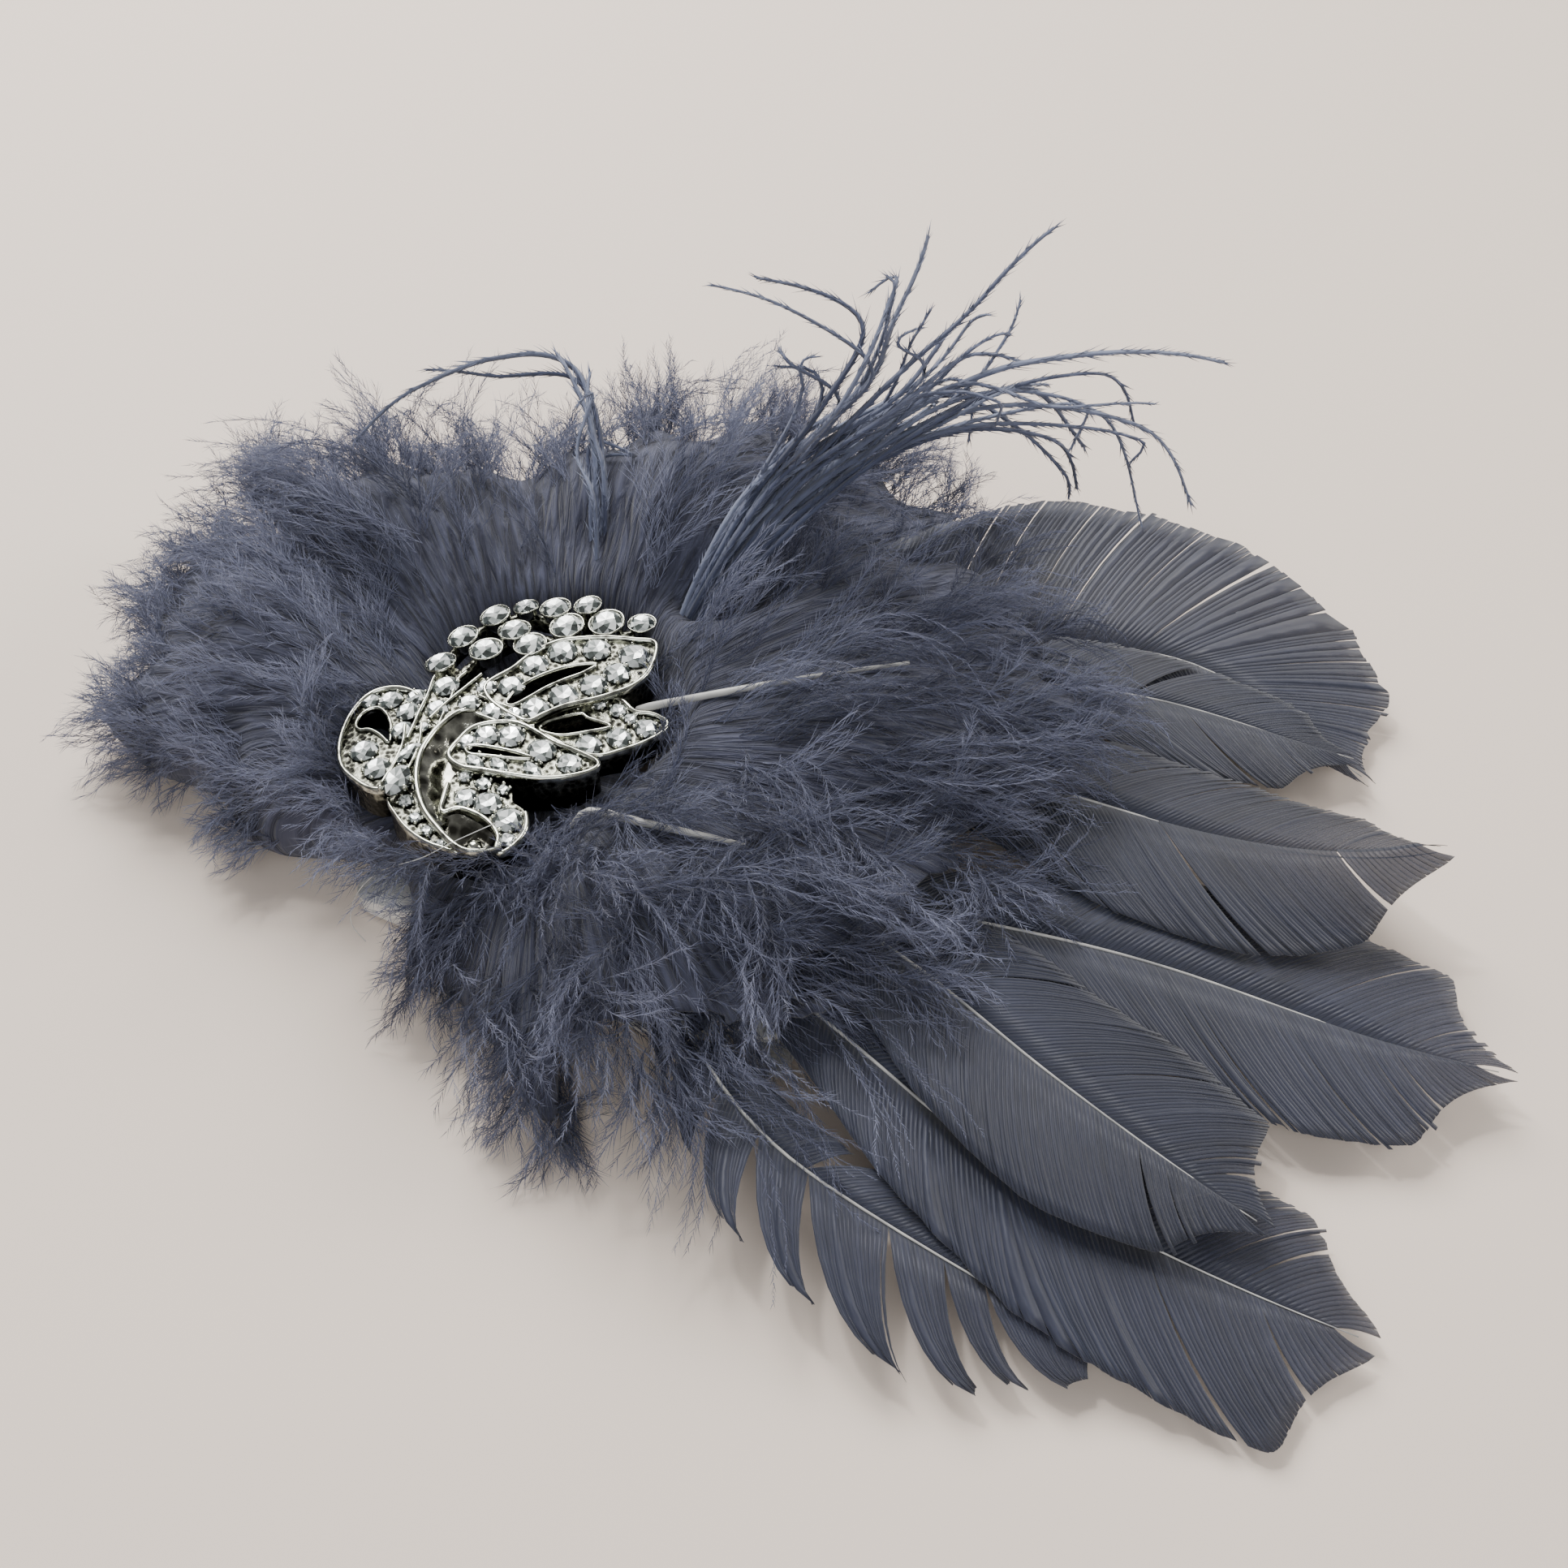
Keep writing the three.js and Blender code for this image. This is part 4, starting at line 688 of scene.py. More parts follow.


# line: root, bends and tip as shares of the reach; left, right: half widths as shares of the vane's;
# locks: how many, and how tightly drawn together, by side; splits: where, side, how wide in mm
# dark: painted shade, how much darker a feather's vane is drawn where it lies folded and overlapped
goose_feathers = [
    dict(node="goose_feather_1", layer=1, curl=0.1, edge_rise=11.0, dark=0.05,
         locks={1: (9, 0.03), -1: (5, 0.03)},
         line=[(0.045, 0.085), (0.24, 0.39), (0.5, 0.585), (0.755, 0.5)],
         left=[0.04, 0.04, 0.7, 1.2, 1.2, 0.85, 0.1], right=[0.04, 0.04, 0.5, 0.75, 0.7, 0.45, 0.08],
         splits=[(0.52, 1, 2.0), (0.62, 1, 1.6), (0.72, 1, 3.4), (0.8, 1, 2.6), (0.9, 1, 1.6),
                 (0.72, -1, 2.2), (0.6, -1, 1.2)]),
    dict(node="goose_feather_2", layer=2, curl=0.15, edge_rise=0.0, dark=0.12,
         locks={1: (5, 0.05), -1: (5, 0.06)},
         line=[(0.07, 0.06), (0.26, 0.32), (0.5, 0.475), (0.74, 0.515)],
         left=[0.04, 0.04, 0.5, 0.7, 0.65, 0.5, 0.08], right=[0.04, 0.04, 0.5, 0.8, 0.8, 0.6, 0.08],
         splits=[(0.66, -1, 2.6), (0.84, 1, 2.4), (0.5, 1, 1.6), (0.76, -1, 1.6)]),
    dict(node="goose_feather_3", layer=3, curl=1.15, edge_rise=0.0, dark=0.12,
         locks={1: (4, 0.04), -1: (5, 0.05)},
         line=[(0.085, 0.035), (0.3, 0.2), (0.62, 0.28), (0.86, 0.34)],
         left=[0.04, 0.04, 0.5, 0.8, 0.75, 0.6, 0.2], right=[0.04, 0.04, 0.6, 0.95, 0.95, 0.7, 0.25],
         splits=[(0.78, 1, 2.2), (0.6, -1, 1.4), (0.9, 1, 1.4), (0.68, -1, 1.0)]),
    dict(node="goose_feather_4", layer=2, curl=0.25, edge_rise=0.0, dark=0.03,
         locks={1: (3, 0.02), -1: (4, 0.02)},
         line=[(0.09, 0.005), (0.36, 0.02), (0.68, 0.11), (0.985, 0.155)],
         left=[0.04, 0.04, 0.5, 0.85, 1.0, 0.85, 0.2], right=[0.04, 0.04, 0.5, 0.8, 0.95, 0.75, 0.15],
         splits=[(0.62, -1, 1.2), (0.74, -1, 0.9), (0.82, 1, 0.5)]),
    dict(node="goose_feather_5", layer=3, curl=0.1, edge_rise=0.0, dark=0.08,
         locks={1: (4, 0.02), -1: (3, 0.02)},
         line=[(0.085, -0.03), (0.34, -0.02), (0.6, -0.085), (0.83, -0.125)],
         left=[0.04, 0.04, 0.5, 0.75, 0.85, 0.75, 0.2], right=[0.04, 0.04, 0.45, 0.75, 0.8, 0.6, 0.16],
         splits=[(0.55, -1, 0.9), (0.8, 1, 0.7)]),
    dict(node="goose_feather_6", layer=1, curl=0.0, edge_rise=0.0, dark=0.03,
         locks={1: (4, 0.03), -1: (4, 0.07)},
         line=[(0.065, -0.06), (0.3, -0.1), (0.6, -0.18), (0.945, -0.165)],
         left=[0.04, 0.04, 0.45, 0.7, 0.8, 0.75, 0.35], right=[0.04, 0.04, 0.35, 0.6, 0.85, 0.95, 0.4],
         splits=[(0.5, -1, 2.4), (0.6, -1, 3.4), (0.7, -1, 1.6), (0.86, 1, 0.8)]),
    dict(node="goose_feather_7", layer=0, curl=0.0, edge_rise=0.0, dark=0.02,
         locks={1: (4, 0.42), -1: (11, 0.66)},
         line=[(0.055, -0.068), (0.22, -0.155), (0.43, -0.27), (0.8, -0.285)],
         left=[0.04, 0.04, 0.2, 0.32, 0.3, 0.2, 0.04], right=[0.04, 0.04, 0.3, 0.6, 0.75, 0.4, 0.05],
         splits=[(0.34, -1, 3.0), (0.42, -1, 4.5), (0.5, -1, 4.0), (0.58, -1, 4.5), (0.68, -1, 3.6),
                 (0.78, -1, 3.0), (0.5, 1, 2.0), (0.64, 1, 2.0)]),
]

goose_vane = paint("slate_goose_vane", (0.06, 0.064, 0.09), 0.5, 0.0, Alpha=0.56, Sheen_Weight=0.25,
                   Sheen_Roughness=0.5, Specular_IOR_Level=0.35)
vane_place = wire(goose_vane, "ShaderNodeTexCoord").outputs["Object"]
vane_grid = wire(goose_vane, "ShaderNodeUVMap", uv_map="barbs").outputs["UV"]
stretched = wire(goose_vane, "ShaderNodeMapping", [("Vector", vane_grid)], Scale=(420, 6, 1))
barb_lines = wire(goose_vane, "ShaderNodeTexNoise", [("Vector", stretched.outputs["Vector"])], Scale=1.0,
                  Detail=2.0)
broad = wire(goose_vane, "ShaderNodeTexNoise", [("Vector", vane_place)], Scale=75.0, Detail=3.0)
tone = wire(goose_vane, "ShaderNodeAttribute", attribute_name="tone").outputs["Fac"]
blend_in = wire(goose_vane, "ShaderNodeMath", operation="MULTIPLY_ADD")
goose_vane.node_tree.links.new(barb_lines.outputs["Fac"], blend_in.inputs[0])
blend_in.inputs[1].default_value = 0.4
goose_vane.node_tree.links.new(tone, blend_in.inputs[2])
blend_two = wire(goose_vane, "ShaderNodeMath", operation="MULTIPLY_ADD")
goose_vane.node_tree.links.new(broad.outputs["Fac"], blend_two.inputs[0])
blend_two.inputs[1].default_value = 0.5
goose_vane.node_tree.links.new(blend_in.outputs["Value"], blend_two.inputs[2])
join_to(goose_vane, "Base Color", ramp(goose_vane, blend_two.outputs["Value"], [
    (0.35, (0.008, 0.0095, 0.018)), (0.7, (0.018, 0.0215, 0.042)), (1.0, (0.046, 0.052, 0.087))]))
# denser towards the root, thin towards the tip
vane_share = wire(goose_vane, "ShaderNodeSeparateXYZ", [("Vector", vane_grid)])
join_to(goose_vane, "Alpha", wire(goose_vane, "ShaderNodeMapRange", [("Value", vane_share.outputs["X"])],
                                  **{"From Min": 0.4, "From Max": 1.0, "To Min": 0.97, "To Max": 0.72}
                                  ).outputs["Result"])
join_to(goose_vane, "Normal", wire(goose_vane, "ShaderNodeBump", [("Height", barb_lines.outputs["Fac"])],
                                   Strength=0.2, Distance=0.0002).outputs["Normal"])
goose_shaft = paint("pale_goose_shaft", (0.45, 0.44, 0.42), 0.4, Specular_IOR_Level=0.5)
shaft_place = wire(goose_shaft, "ShaderNodeTexCoord").outputs["Object"]
shaft_noise = wire(goose_shaft, "ShaderNodeTexNoise", [("Vector", shaft_place)], Scale=300.0, Detail=3.0)
join_to(goose_shaft, "Base Color", ramp(goose_shaft, shaft_noise.outputs["Fac"],
                                        [(0.3, (0.24, 0.24, 0.24)), (0.65, (0.48, 0.47, 0.45))]))
barb_chance = np.random.default_rng(21)
for row in goose_feathers:
    spine = smooth_line([hub + np.array(p) * fan_reach for p in row["line"]], step=0.5)
    ahead = np.gradient(spine, axis=0)
    ahead /= np.linalg.norm(ahead, axis=1)[:, None]
    t_of = np.linspace(0, 1, len(spine))

    def on_spine(t):
        """Points on the shaft's line, and its direction there."""
        p = np.stack([np.interp(t, t_of, spine[:, k]) for k in (0, 1)], -1)
        d = np.stack([np.interp(t, t_of, ahead[:, k]) for k in (0, 1)], -1)
        return p, d

    def lifted(x, y, t):
        """Height of the vane in its layer, with the curl of its tip."""
        return fan_height(x, y) + row["layer"] * layer_step + row["curl"] * fan_drop * np.clip(t, 0, 1) ** 7

    strips, across = 140, 7
    corners, faces, grid, tones = [], [], [], []
    s = np.linspace(0, 1, across) ** 0.9
    for side, widths in ((1, row["left"]), (-1, row["right"])):
        wobble = barb_chance.normal(0, 1, strips + 1)
        count, pull = row["locks"][side]
        cuts = np.r_[0, np.sort(barb_chance.uniform(0.03, 0.97, count - 1)), 1]
        loose_locks = pull > 0.4
        if loose_locks:
            cuts = np.linspace(0, 1, count + 1) + np.r_[0, barb_chance.uniform(-0.035, 0.035, count - 1), 0]
        stray = barb_chance.uniform(0, 1, strips + 1) < 0.02
        for i in range(strips):
            edge_pair = []
            for e in (-0.03, 1.03):
                u = (i + e) / strips
                lock = min(count - 1, max(0, int(np.searchsorted(cuts, (i + 0.5) / strips)) - 1))
                middle = (cuts[lock] + cuts[lock + 1]) / 2
                t_root, t_end = 0.08 + 0.88 * u, 0.10 + 0.9 * min(middle + (u - middle) * (1 - pull), 1.0)
                p, d = on_spine(np.array(t_root))
                q, way = on_spine(np.array(t_end))
                n = np.array([-way[1], way[0]]) * side
                tip_round = math.sqrt(max(0.02, 1 - max(0, (t_end - 0.7) / 0.3) ** 3))
                w = max(0.45, float(along_row(widths, np.array(t_end))) * vane_width * tip_round)
                sweep_on = 0.75 * ease((t_end - 0.15) / 0.2) * (1 - 0.75 * ease((t_end - 0.8) / 0.2))
                end = q + n * w + way * w * sweep_on + way * 0.6 * (1 - tip_round)
                push = sum(size * (1 if u > at else -1) * math.exp(-abs(u - at) / 0.035)
                           * (0.5 if u < at else 1) for at, which, size in row["splits"] if which == side)
                end = end + way * (push * 0.42 + (0.5 if stray[i] else 0))
                end = p + (end - p) * (1 + 0.004 * wobble[i] + (0.02 if stray[i] else 0))
                # each barb leaves the shaft steeply and bends towards the tip
                belly = np.outer(s * (1 - s) * (0.55 if loose_locks else 0.28) * np.linalg.norm(end - p), n)
                xy = p + np.outer(s, end - p) + belly
                z = lifted(xy[:, 0], xy[:, 1], t_end) + 0.25 - 0.045 * w * s * s
                z = z + 0.14 * math.sin(t_end * 31 + side) * s + 0.06 * wobble[i] * s ** 3
                if side == 1:
                    z = z + row["edge_rise"] * s * ease(u / 0.3) * (1 - ease((u - 0.4) / 0.55))
                edge_pair.append(np.c_[xy, z])
            a, b = edge_pair
            base = len(corners)
            for k in range(across):
                for q, up in ((a, 0.04), (b, 0.04), (b, -0.04), (a, -0.04)):
                    pinch = (1.0, 1.0, 0.85)[max(0, k - across + 3)]
                    mid = (a[k] + b[k]) / 2
                    c = mid + (q[k] - mid) * pinch
                    corners.append((c[0], c[1], max(c[2] + up, 0.05)))
                    grid.append(((i + (q is b)) / strips, s[k]))
            for k in range(across - 1):
                lo, hi = base + 4 * k, base + 4 * k + 4
                for j in range(4):
                    faces.append((lo + j, lo + (j + 1) % 4, hi + (j + 1) % 4, hi + j))
            faces += [(base + 3, base + 2, base + 1, base),
                      tuple(base + 4 * (across - 1) + j for j in range(4))]
            # each barb's random tone, less its feather's painted shade
            tones += [barb_chance.uniform(0.18, 0.32) - row["dark"]] * (4 * (across - 1) + 2)
            if side == -1:
                first = len(faces) - (4 * (across - 1) + 2)
                faces[first:] = [tuple(reversed(f)) for f in faces[first:]]
    vane_end = len(faces)
    shaft_t = np.linspace(0.0, 0.985, 40)
    p, d = on_spine(shaft_t)
    shaft = np.c_[p, lifted(p[:, 0], p[:, 1], shaft_t) + 0.34]
    thick = np.interp(shaft_t, [0, 0.4, 1], [0.5, 0.2, 0.06])
    side_way = np.c_[-d[:, 1], d[:, 0], np.zeros(len(d))]
    rings = [[shaft[i] + side_way[i] * math.cos(a) * thick[i] + np.array([0, 0, 1]) * math.sin(a) * thick[i]
              for a in np.linspace(0, 2 * math.pi, 7)[:-1]] for i in range(len(shaft))]
    shaft_corners, shaft_faces = shell_of(rings)
    base = len(corners)
    corners += [tuple(c) for c in shaft_corners]
    faces += [tuple(base + i for i in f) for f in shaft_faces]
    grid += [(0, 0)] * len(shaft_corners)
    tones += [0.2] * len(shaft_faces)
    data = bpy.data.meshes.new(row["node"] + "_vane")
    data.from_pydata([tuple(0.001 * v for v in c) for c in corners], [], faces)
    data.materials.append(goose_vane)
    data.materials.append(goose_shaft)
    data.polygons.foreach_set("material_index", [0] * vane_end + [1] * (len(faces) - vane_end))
    data.polygons.foreach_set("use_smooth", [True] * len(faces))
    data.attributes.new("tone", "FLOAT", "FACE").data.foreach_set("value", tones)
    layer = data.uv_layers.new(name="barbs")
    index = np.zeros(len(data.loops), int)
    data.loops.foreach_get("vertex_index", index)
    layer.data.foreach_set("uv", np.array(grid, np.float32)[index].ravel())
    vane = bpy.data.objects.new(row["node"] + "_vane", data)
    bpy.context.scene.collection.objects.link(vane)
    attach(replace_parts(vane, row["node"]), "root")


# The down: seven dyed marabou plumes, bound by their quills under the brooch and spread all round it.
# They pack into one soft dark mass covered in long barbs, and every barb carries rows of fine barbules
# that stand out as fluff, so the edges of the plumes thin away to wisps.
def soft_skin(name, nodes, voxel, grow, sink):
    """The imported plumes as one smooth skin: grown so their seams close, then drawn in again. In mm."""
    raw = bmesh.new()
    for node in nodes:
        raw.from_mesh(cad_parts[node].data)
    bmesh.ops.remove_doubles(raw, verts=raw.verts, dist=1e-6)
    data = bpy.data.meshes.new(name)
    raw.to_mesh(data)
    raw.free()
    skin = bpy.data.objects.new(name, data)
    bpy.context.scene.collection.objects.link(skin)
    for number, change in enumerate((grow, -sink)):
        remesh = skin.modifiers.new(f"remesh_{number}", "REMESH")
        remesh.mode, remesh.voxel_size = "VOXEL", voxel * 0.001
        swell = skin.modifiers.new(f"swell_{number}", "DISPLACE")
        swell.mid_level, swell.strength = 0.0, change * 0.001
    remesh = skin.modifiers.new("remesh_2", "REMESH")
    remesh.mode, remesh.voxel_size = "VOXEL", voxel * 0.001
    soft = skin.modifiers.new("soft", "SMOOTH")
    soft.factor, soft.iterations = 0.5, 5
    graph = bpy.context.evaluated_depsgraph_get()
    plain = bpy.data.meshes.new_from_object(skin.evaluated_get(graph), depsgraph=graph)
    bpy.data.objects.remove(skin)
    place = np.zeros(len(plain.vertices) * 3)
    plain.vertices.foreach_get("co", place)
    place = place.reshape(-1, 3)
    # the fluff stands a little fuller towards the back rim
    x, y = place[:, 0] * 1000 - hub[0], place[:, 1] * 1000 - hub[1]
    turn = (np.degrees(np.arctan2(y, x)) + 90) % 360 - 90
    fuller = ease((turn - 70) / 25) * (1 - ease((turn - 175) / 35)) * ease((np.hypot(x, y) - 22) / 22)
    place[:, 2] = np.maximum(place[:, 2] * (1 + 0.42 * fuller), 0.0002)
    plain.vertices.foreach_set("co", place.ravel())
    out = np.zeros(len(plain.vertices) * 3)
    plain.vertex_normals.foreach_get("vector", out)
    plain.polygons.foreach_set("use_smooth", [True] * len(plain.polygons))
    return plain, place * 1000, out.reshape(-1, 3)


def barb_tree(name, material):
    """Geometry Nodes: each line becomes a fine stem with barbules along both its sides."""
    tree = bpy.data.node_groups.new(name, "GeometryNodeTree")
    add, join = tree.nodes.new, tree.links.new
    tree.interface.new_socket("Geometry", in_out="INPUT", socket_type="NodeSocketGeometry")
    keys = {}
    for key in ("Stem radius", "Barbule length", "Barbule width", "Spacing", "Lean", "Spread", "Waviness"):
        keys[key] = tree.interface.new_socket(key, in_out="INPUT", socket_type="NodeSocketFloat").identifier
    tree.interface.new_socket("Geometry", in_out="OUTPUT", socket_type="NodeSocketGeometry")
    start, end = add("NodeGroupInput"), add("NodeGroupOutput")
    sized, along = add("GeometryNodeInputNamedAttribute"), add("GeometryNodeInputNamedAttribute")
    sized.inputs["Name"].default_value, along.inputs["Name"].default_value = "size", "along"
    lines = add("GeometryNodeMeshToCurve")
    join(start.outputs["Geometry"], lines.inputs["Mesh"])
    upright = add("GeometryNodeSetCurveNormal")
    upright.mode = "Z_UP"
    join(lines.outputs["Curve"], upright.inputs["Curve"])

    def maths(kind, a, b, c=None):
        node = add("ShaderNodeMath")
        node.operation = kind
        for slot_index, value in enumerate((a, b, c)):
            if value is None:
                continue
            if isinstance(value, (int, float)):
                node.inputs[slot_index].default_value = value
            else:
                join(value, node.inputs[slot_index])
        return node.outputs["Value"]

    thin = maths("MULTIPLY_ADD", along.outputs["Attribute"], -0.8, 1.0)
    radius = maths("MULTIPLY", maths("MULTIPLY", start.outputs["Stem radius"], thin),
                   sized.outputs["Attribute"])
    ring = add("GeometryNodeCurvePrimitiveCircle")
    ring.inputs["Resolution"].default_value = 3
    ring.inputs["Radius"].default_value = 1.0
    stem = add("GeometryNodeCurveToMesh")
    stem.inputs["Fill Caps"].default_value = True
    join(upright.outputs["Curve"], stem.inputs["Curve"])
    join(radius, stem.inputs["Scale"])
    join(ring.outputs["Curve"], stem.inputs["Profile Curve"])
    points = add("GeometryNodeCurveToPoints")
    points.mode = "LENGTH"
    join(upright.outputs["Curve"], points.inputs["Curve"])
    join(start.outputs["Spacing"], points.inputs["Length"])
    needle = add("GeometryNodeMeshCone")
    needle.inputs["Vertices"].default_value = 3
    needle.inputs["Side Segments"].default_value = 1
    needle.inputs["Radius Top"].default_value = 0.0
    needle.inputs["Radius Bottom"].default_value = 1.0
    needle.inputs["Depth"].default_value = 1.0

    def chance_of(low, high, seed):
        node = add("FunctionNodeRandomValue")
        node.data_type = "FLOAT"
        for socket_index, value in ((2, low), (3, high)):
            if isinstance(value, (int, float)):
                node.inputs[socket_index].default_value = value
            else:
                join(value, node.inputs[socket_index])
        node.inputs["Seed"].default_value = seed
        return node.outputs[1]

    # longest a quarter of the way along, shorter at the root and the tip
    rise = maths("MINIMUM", maths("MULTIPLY_ADD", along.outputs["Attribute"], 2.2, 0.45), 1.0)
    fall = maths("MULTIPLY_ADD", maths("POWER", along.outputs["Attribute"], 2.5), -0.62, 1.0)
    reach = maths("MULTIPLY", maths("MULTIPLY", rise, fall), chance_of(0.55, 1.25, 3))
    reach = maths("MULTIPLY", maths("MULTIPLY", reach, start.outputs["Barbule length"]),
                  sized.outputs["Attribute"])
    width = maths("MULTIPLY", start.outputs["Barbule width"], chance_of(0.7, 1.3, 5))
    shape = add("ShaderNodeCombineXYZ")
    join(width, shape.inputs["X"])
    join(width, shape.inputs["Y"])
    join(reach, shape.inputs["Z"])
    copies = add("GeometryNodeInstanceOnPoints")
    join(points.outputs["Points"], copies.inputs["Points"])
    join(needle.outputs["Mesh"], copies.inputs["Instance"])
    join(points.outputs["Rotation"], copies.inputs["Rotation"])
    join(shape.outputs["Vector"], copies.inputs["Scale"])
    which = maths("ROUND", chance_of(0.0, 1.0, 11), 0)
    spin = maths("ADD", maths("MULTIPLY", which, math.pi),
                 maths("MULTIPLY", start.outputs["Spread"], chance_of(-1.0, 1.0, 13)))
    tilt = maths("MULTIPLY", start.outputs["Lean"], chance_of(0.6, 1.4, 17))
    euler = add("ShaderNodeCombineXYZ")
    join(tilt, euler.inputs["Y"])
    join(spin, euler.inputs["Z"])
    turn = add("FunctionNodeEulerToRotation")
    join(euler.outputs["Vector"], turn.inputs["Euler"])
    turned = add("GeometryNodeRotateInstances")
    turned.inputs["Local Space"].default_value = True
    join(copies.outputs["Instances"], turned.inputs["Instances"])
    join(turn.outputs["Rotation"], turned.inputs["Rotation"])
    real = add("GeometryNodeRealizeInstances")
    join(turned.outputs["Instances"], real.inputs["Geometry"])
    both = add("GeometryNodeJoinGeometry")
    join(stem.outputs["Mesh"], both.inputs["Geometry"])
    join(real.outputs["Geometry"], both.inputs["Geometry"])
    where = add("GeometryNodeInputPosition")
    waves = add("ShaderNodeTexNoise")
    waves.inputs["Scale"].default_value = 330.0
    waves.inputs["Detail"].default_value = 1.0
    join(where.outputs["Position"], waves.inputs["Vector"])
    centred = add("ShaderNodeVectorMath")
    centred.operation = "SUBTRACT"
    centred.inputs[1].default_value = (0.5, 0.5, 0.5)
    join(waves.outputs["Color"], centred.inputs[0])
    shift = add("ShaderNodeVectorMath")
    shift.operation = "SCALE"
    join(centred.outputs["Vector"], shift.inputs[0])
    join(start.outputs["Waviness"], shift.inputs["Scale"])
    moved = add("GeometryNodeSetPosition")
    join(both.outputs["Geometry"], moved.inputs["Geometry"])
    join(shift.outputs["Vector"], moved.inputs["Offset"])
    # a barb that reaches the table lies on it
    split, rest = add("ShaderNodeSeparateXYZ"), add("ShaderNodeCombineXYZ")
    join(add("GeometryNodeInputPosition").outputs["Position"], split.inputs["Vector"])
    join(split.outputs["X"], rest.inputs["X"])
    join(split.outputs["Y"], rest.inputs["Y"])
    join(maths("MAXIMUM", split.outputs["Z"], 0.00015), rest.inputs["Z"])
    laid = add("GeometryNodeSetPosition")
    join(moved.outputs["Geometry"], laid.inputs["Geometry"])
    join(rest.outputs["Vector"], laid.inputs["Position"])
    soft = add("GeometryNodeSetShadeSmooth")
    join(laid.outputs["Geometry"], soft.inputs["Geometry"])
    finish = add("GeometryNodeSetMaterial")
    finish.inputs["Material"].default_value = material
    join(soft.outputs["Geometry"], finish.inputs["Geometry"])
    join(finish.outputs["Geometry"], end.inputs["Geometry"])
    return tree, keys


def feather_out(name, paths, sizes, tones, tree, keys, settings, slot_name, nodes):
    """Barbs along paths in mm, as one plain mesh that takes the place of the named nodes."""
    corners, edges, along, size, tone = [], [], [], [], []
    for path, s, t in zip(paths, sizes, tones):
        base, n = len(corners), len(path)
        corners += [tuple(0.001 * v for v in p) for p in path]
        edges += [(base + i, base + i + 1) for i in range(n - 1)]
        along += list(np.linspace(0, 1, n))
        size += list(np.broadcast_to(s, n))
        tone += [t] * n
    data = bpy.data.meshes.new(name)
    data.from_pydata(corners, edges, [])
    for key, values in (("along", along), ("size", size), ("tone", tone)):
        data.attributes.new(key, "FLOAT", "POINT").data.foreach_set("value", values)
    piece = bpy.data.objects.new(name, data)
    bpy.context.scene.collection.objects.link(piece)
    barbs = piece.modifiers.new("barbs", "NODES")
    barbs.node_group = tree
    for key, value in settings.items():
        barbs[keys[key]] = float(value)
    graph = bpy.context.evaluated_depsgraph_get()
    plain = bpy.data.meshes.new_from_object(piece.evaluated_get(graph), preserve_all_data_layers=True,
                                            depsgraph=graph)
    piece.modifiers.clear()
    piece.data = plain
    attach(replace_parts(piece, *nodes) if nodes else piece, "root")
    return piece


def down_finish(name, dark, middle, light, through):
    """Dyed down: matt, a little glow at grazing angles, and light coming through the fine ends."""
    material = paint(name, middle, 0.85, 0.0, Sheen_Weight=0.2, Sheen_Roughness=0.6, Specular_IOR_Level=0.15)
    place = wire(material, "ShaderNodeTexCoord").outputs["Object"]
    patch = wire(material, "ShaderNodeTexNoise", [("Vector", place)], Scale=55.0, Detail=3.0)
    tone = wire(material, "ShaderNodeAttribute", attribute_name="tone").outputs["Fac"]
    along = wire(material, "ShaderNodeAttribute", attribute_name="along").outputs["Fac"]
    first = wire(material, "ShaderNodeMath", operation="MULTIPLY_ADD")
    material.node_tree.links.new(patch.outputs["Fac"], first.inputs[0])
    first.inputs[1].default_value = 0.7
    material.node_tree.links.new(tone, first.inputs[2])
    second = wire(material, "ShaderNodeMath", operation="MULTIPLY_ADD")
    material.node_tree.links.new(along, second.inputs[0])
    second.inputs[1].default_value = 0.3
    material.node_tree.links.new(first.outputs["Value"], second.inputs[2])
    colour = ramp(material, second.outputs["Value"], [(0.25, dark), (0.62, middle), (1.0, light)])
    join_to(material, "Base Color", colour)
    glow = wire(material, "ShaderNodeBsdfTranslucent", [("Color", colour)])
    shader, output = material.node_tree.nodes["Principled BSDF"], material.node_tree.nodes["Material Output"]
    mixed = wire(material, "ShaderNodeMixShader", Fac=through)
    material.node_tree.links.new(shader.outputs["BSDF"], mixed.inputs[1])
    material.node_tree.links.new(glow.outputs["BSDF"], mixed.inputs[2])
    material.node_tree.links.new(mixed.outputs["Shader"], output.inputs["Surface"])
    return material


marabou = down_finish("dyed_marabou", (0.026, 0.029, 0.056), (0.078, 0.087, 0.150), (0.21, 0.226, 0.33), 0.3)
marabou_depth = paint("marabou_depth", (0.05, 0.053, 0.085), 0.95, 0.0, Sheen_Weight=0.15,
                      Sheen_Roughness=0.6, Specular_IOR_Level=0.1)
# streaks that run out from under the brooch: fine across, long along
deep_place = wire(marabou_depth, "ShaderNodeTexCoord").outputs["Object"]
deep_centre = wire(marabou_depth, "ShaderNodeVectorMath", [(0, deep_place)], operation="SUBTRACT")
deep_centre.inputs[1].default_value = (-0.010, 0.012, 0.0)
deep_polar = wire(marabou_depth, "ShaderNodeSeparateXYZ", [("Vector", deep_centre.outputs["Vector"])])
deep_turn = wire(marabou_depth, "ShaderNodeMath",
                 [(0, deep_polar.outputs["Y"]), (1, deep_polar.outputs["X"])], operation="ARCTAN2")
deep_far = wire(marabou_depth, "ShaderNodeVectorMath", [(0, deep_centre.outputs["Vector"])],
                operation="LENGTH")
deep_grid = wire(marabou_depth, "ShaderNodeCombineXYZ", [("X", deep_turn.outputs["Value"]),
                                                         ("Y", deep_far.outputs["Value"])])
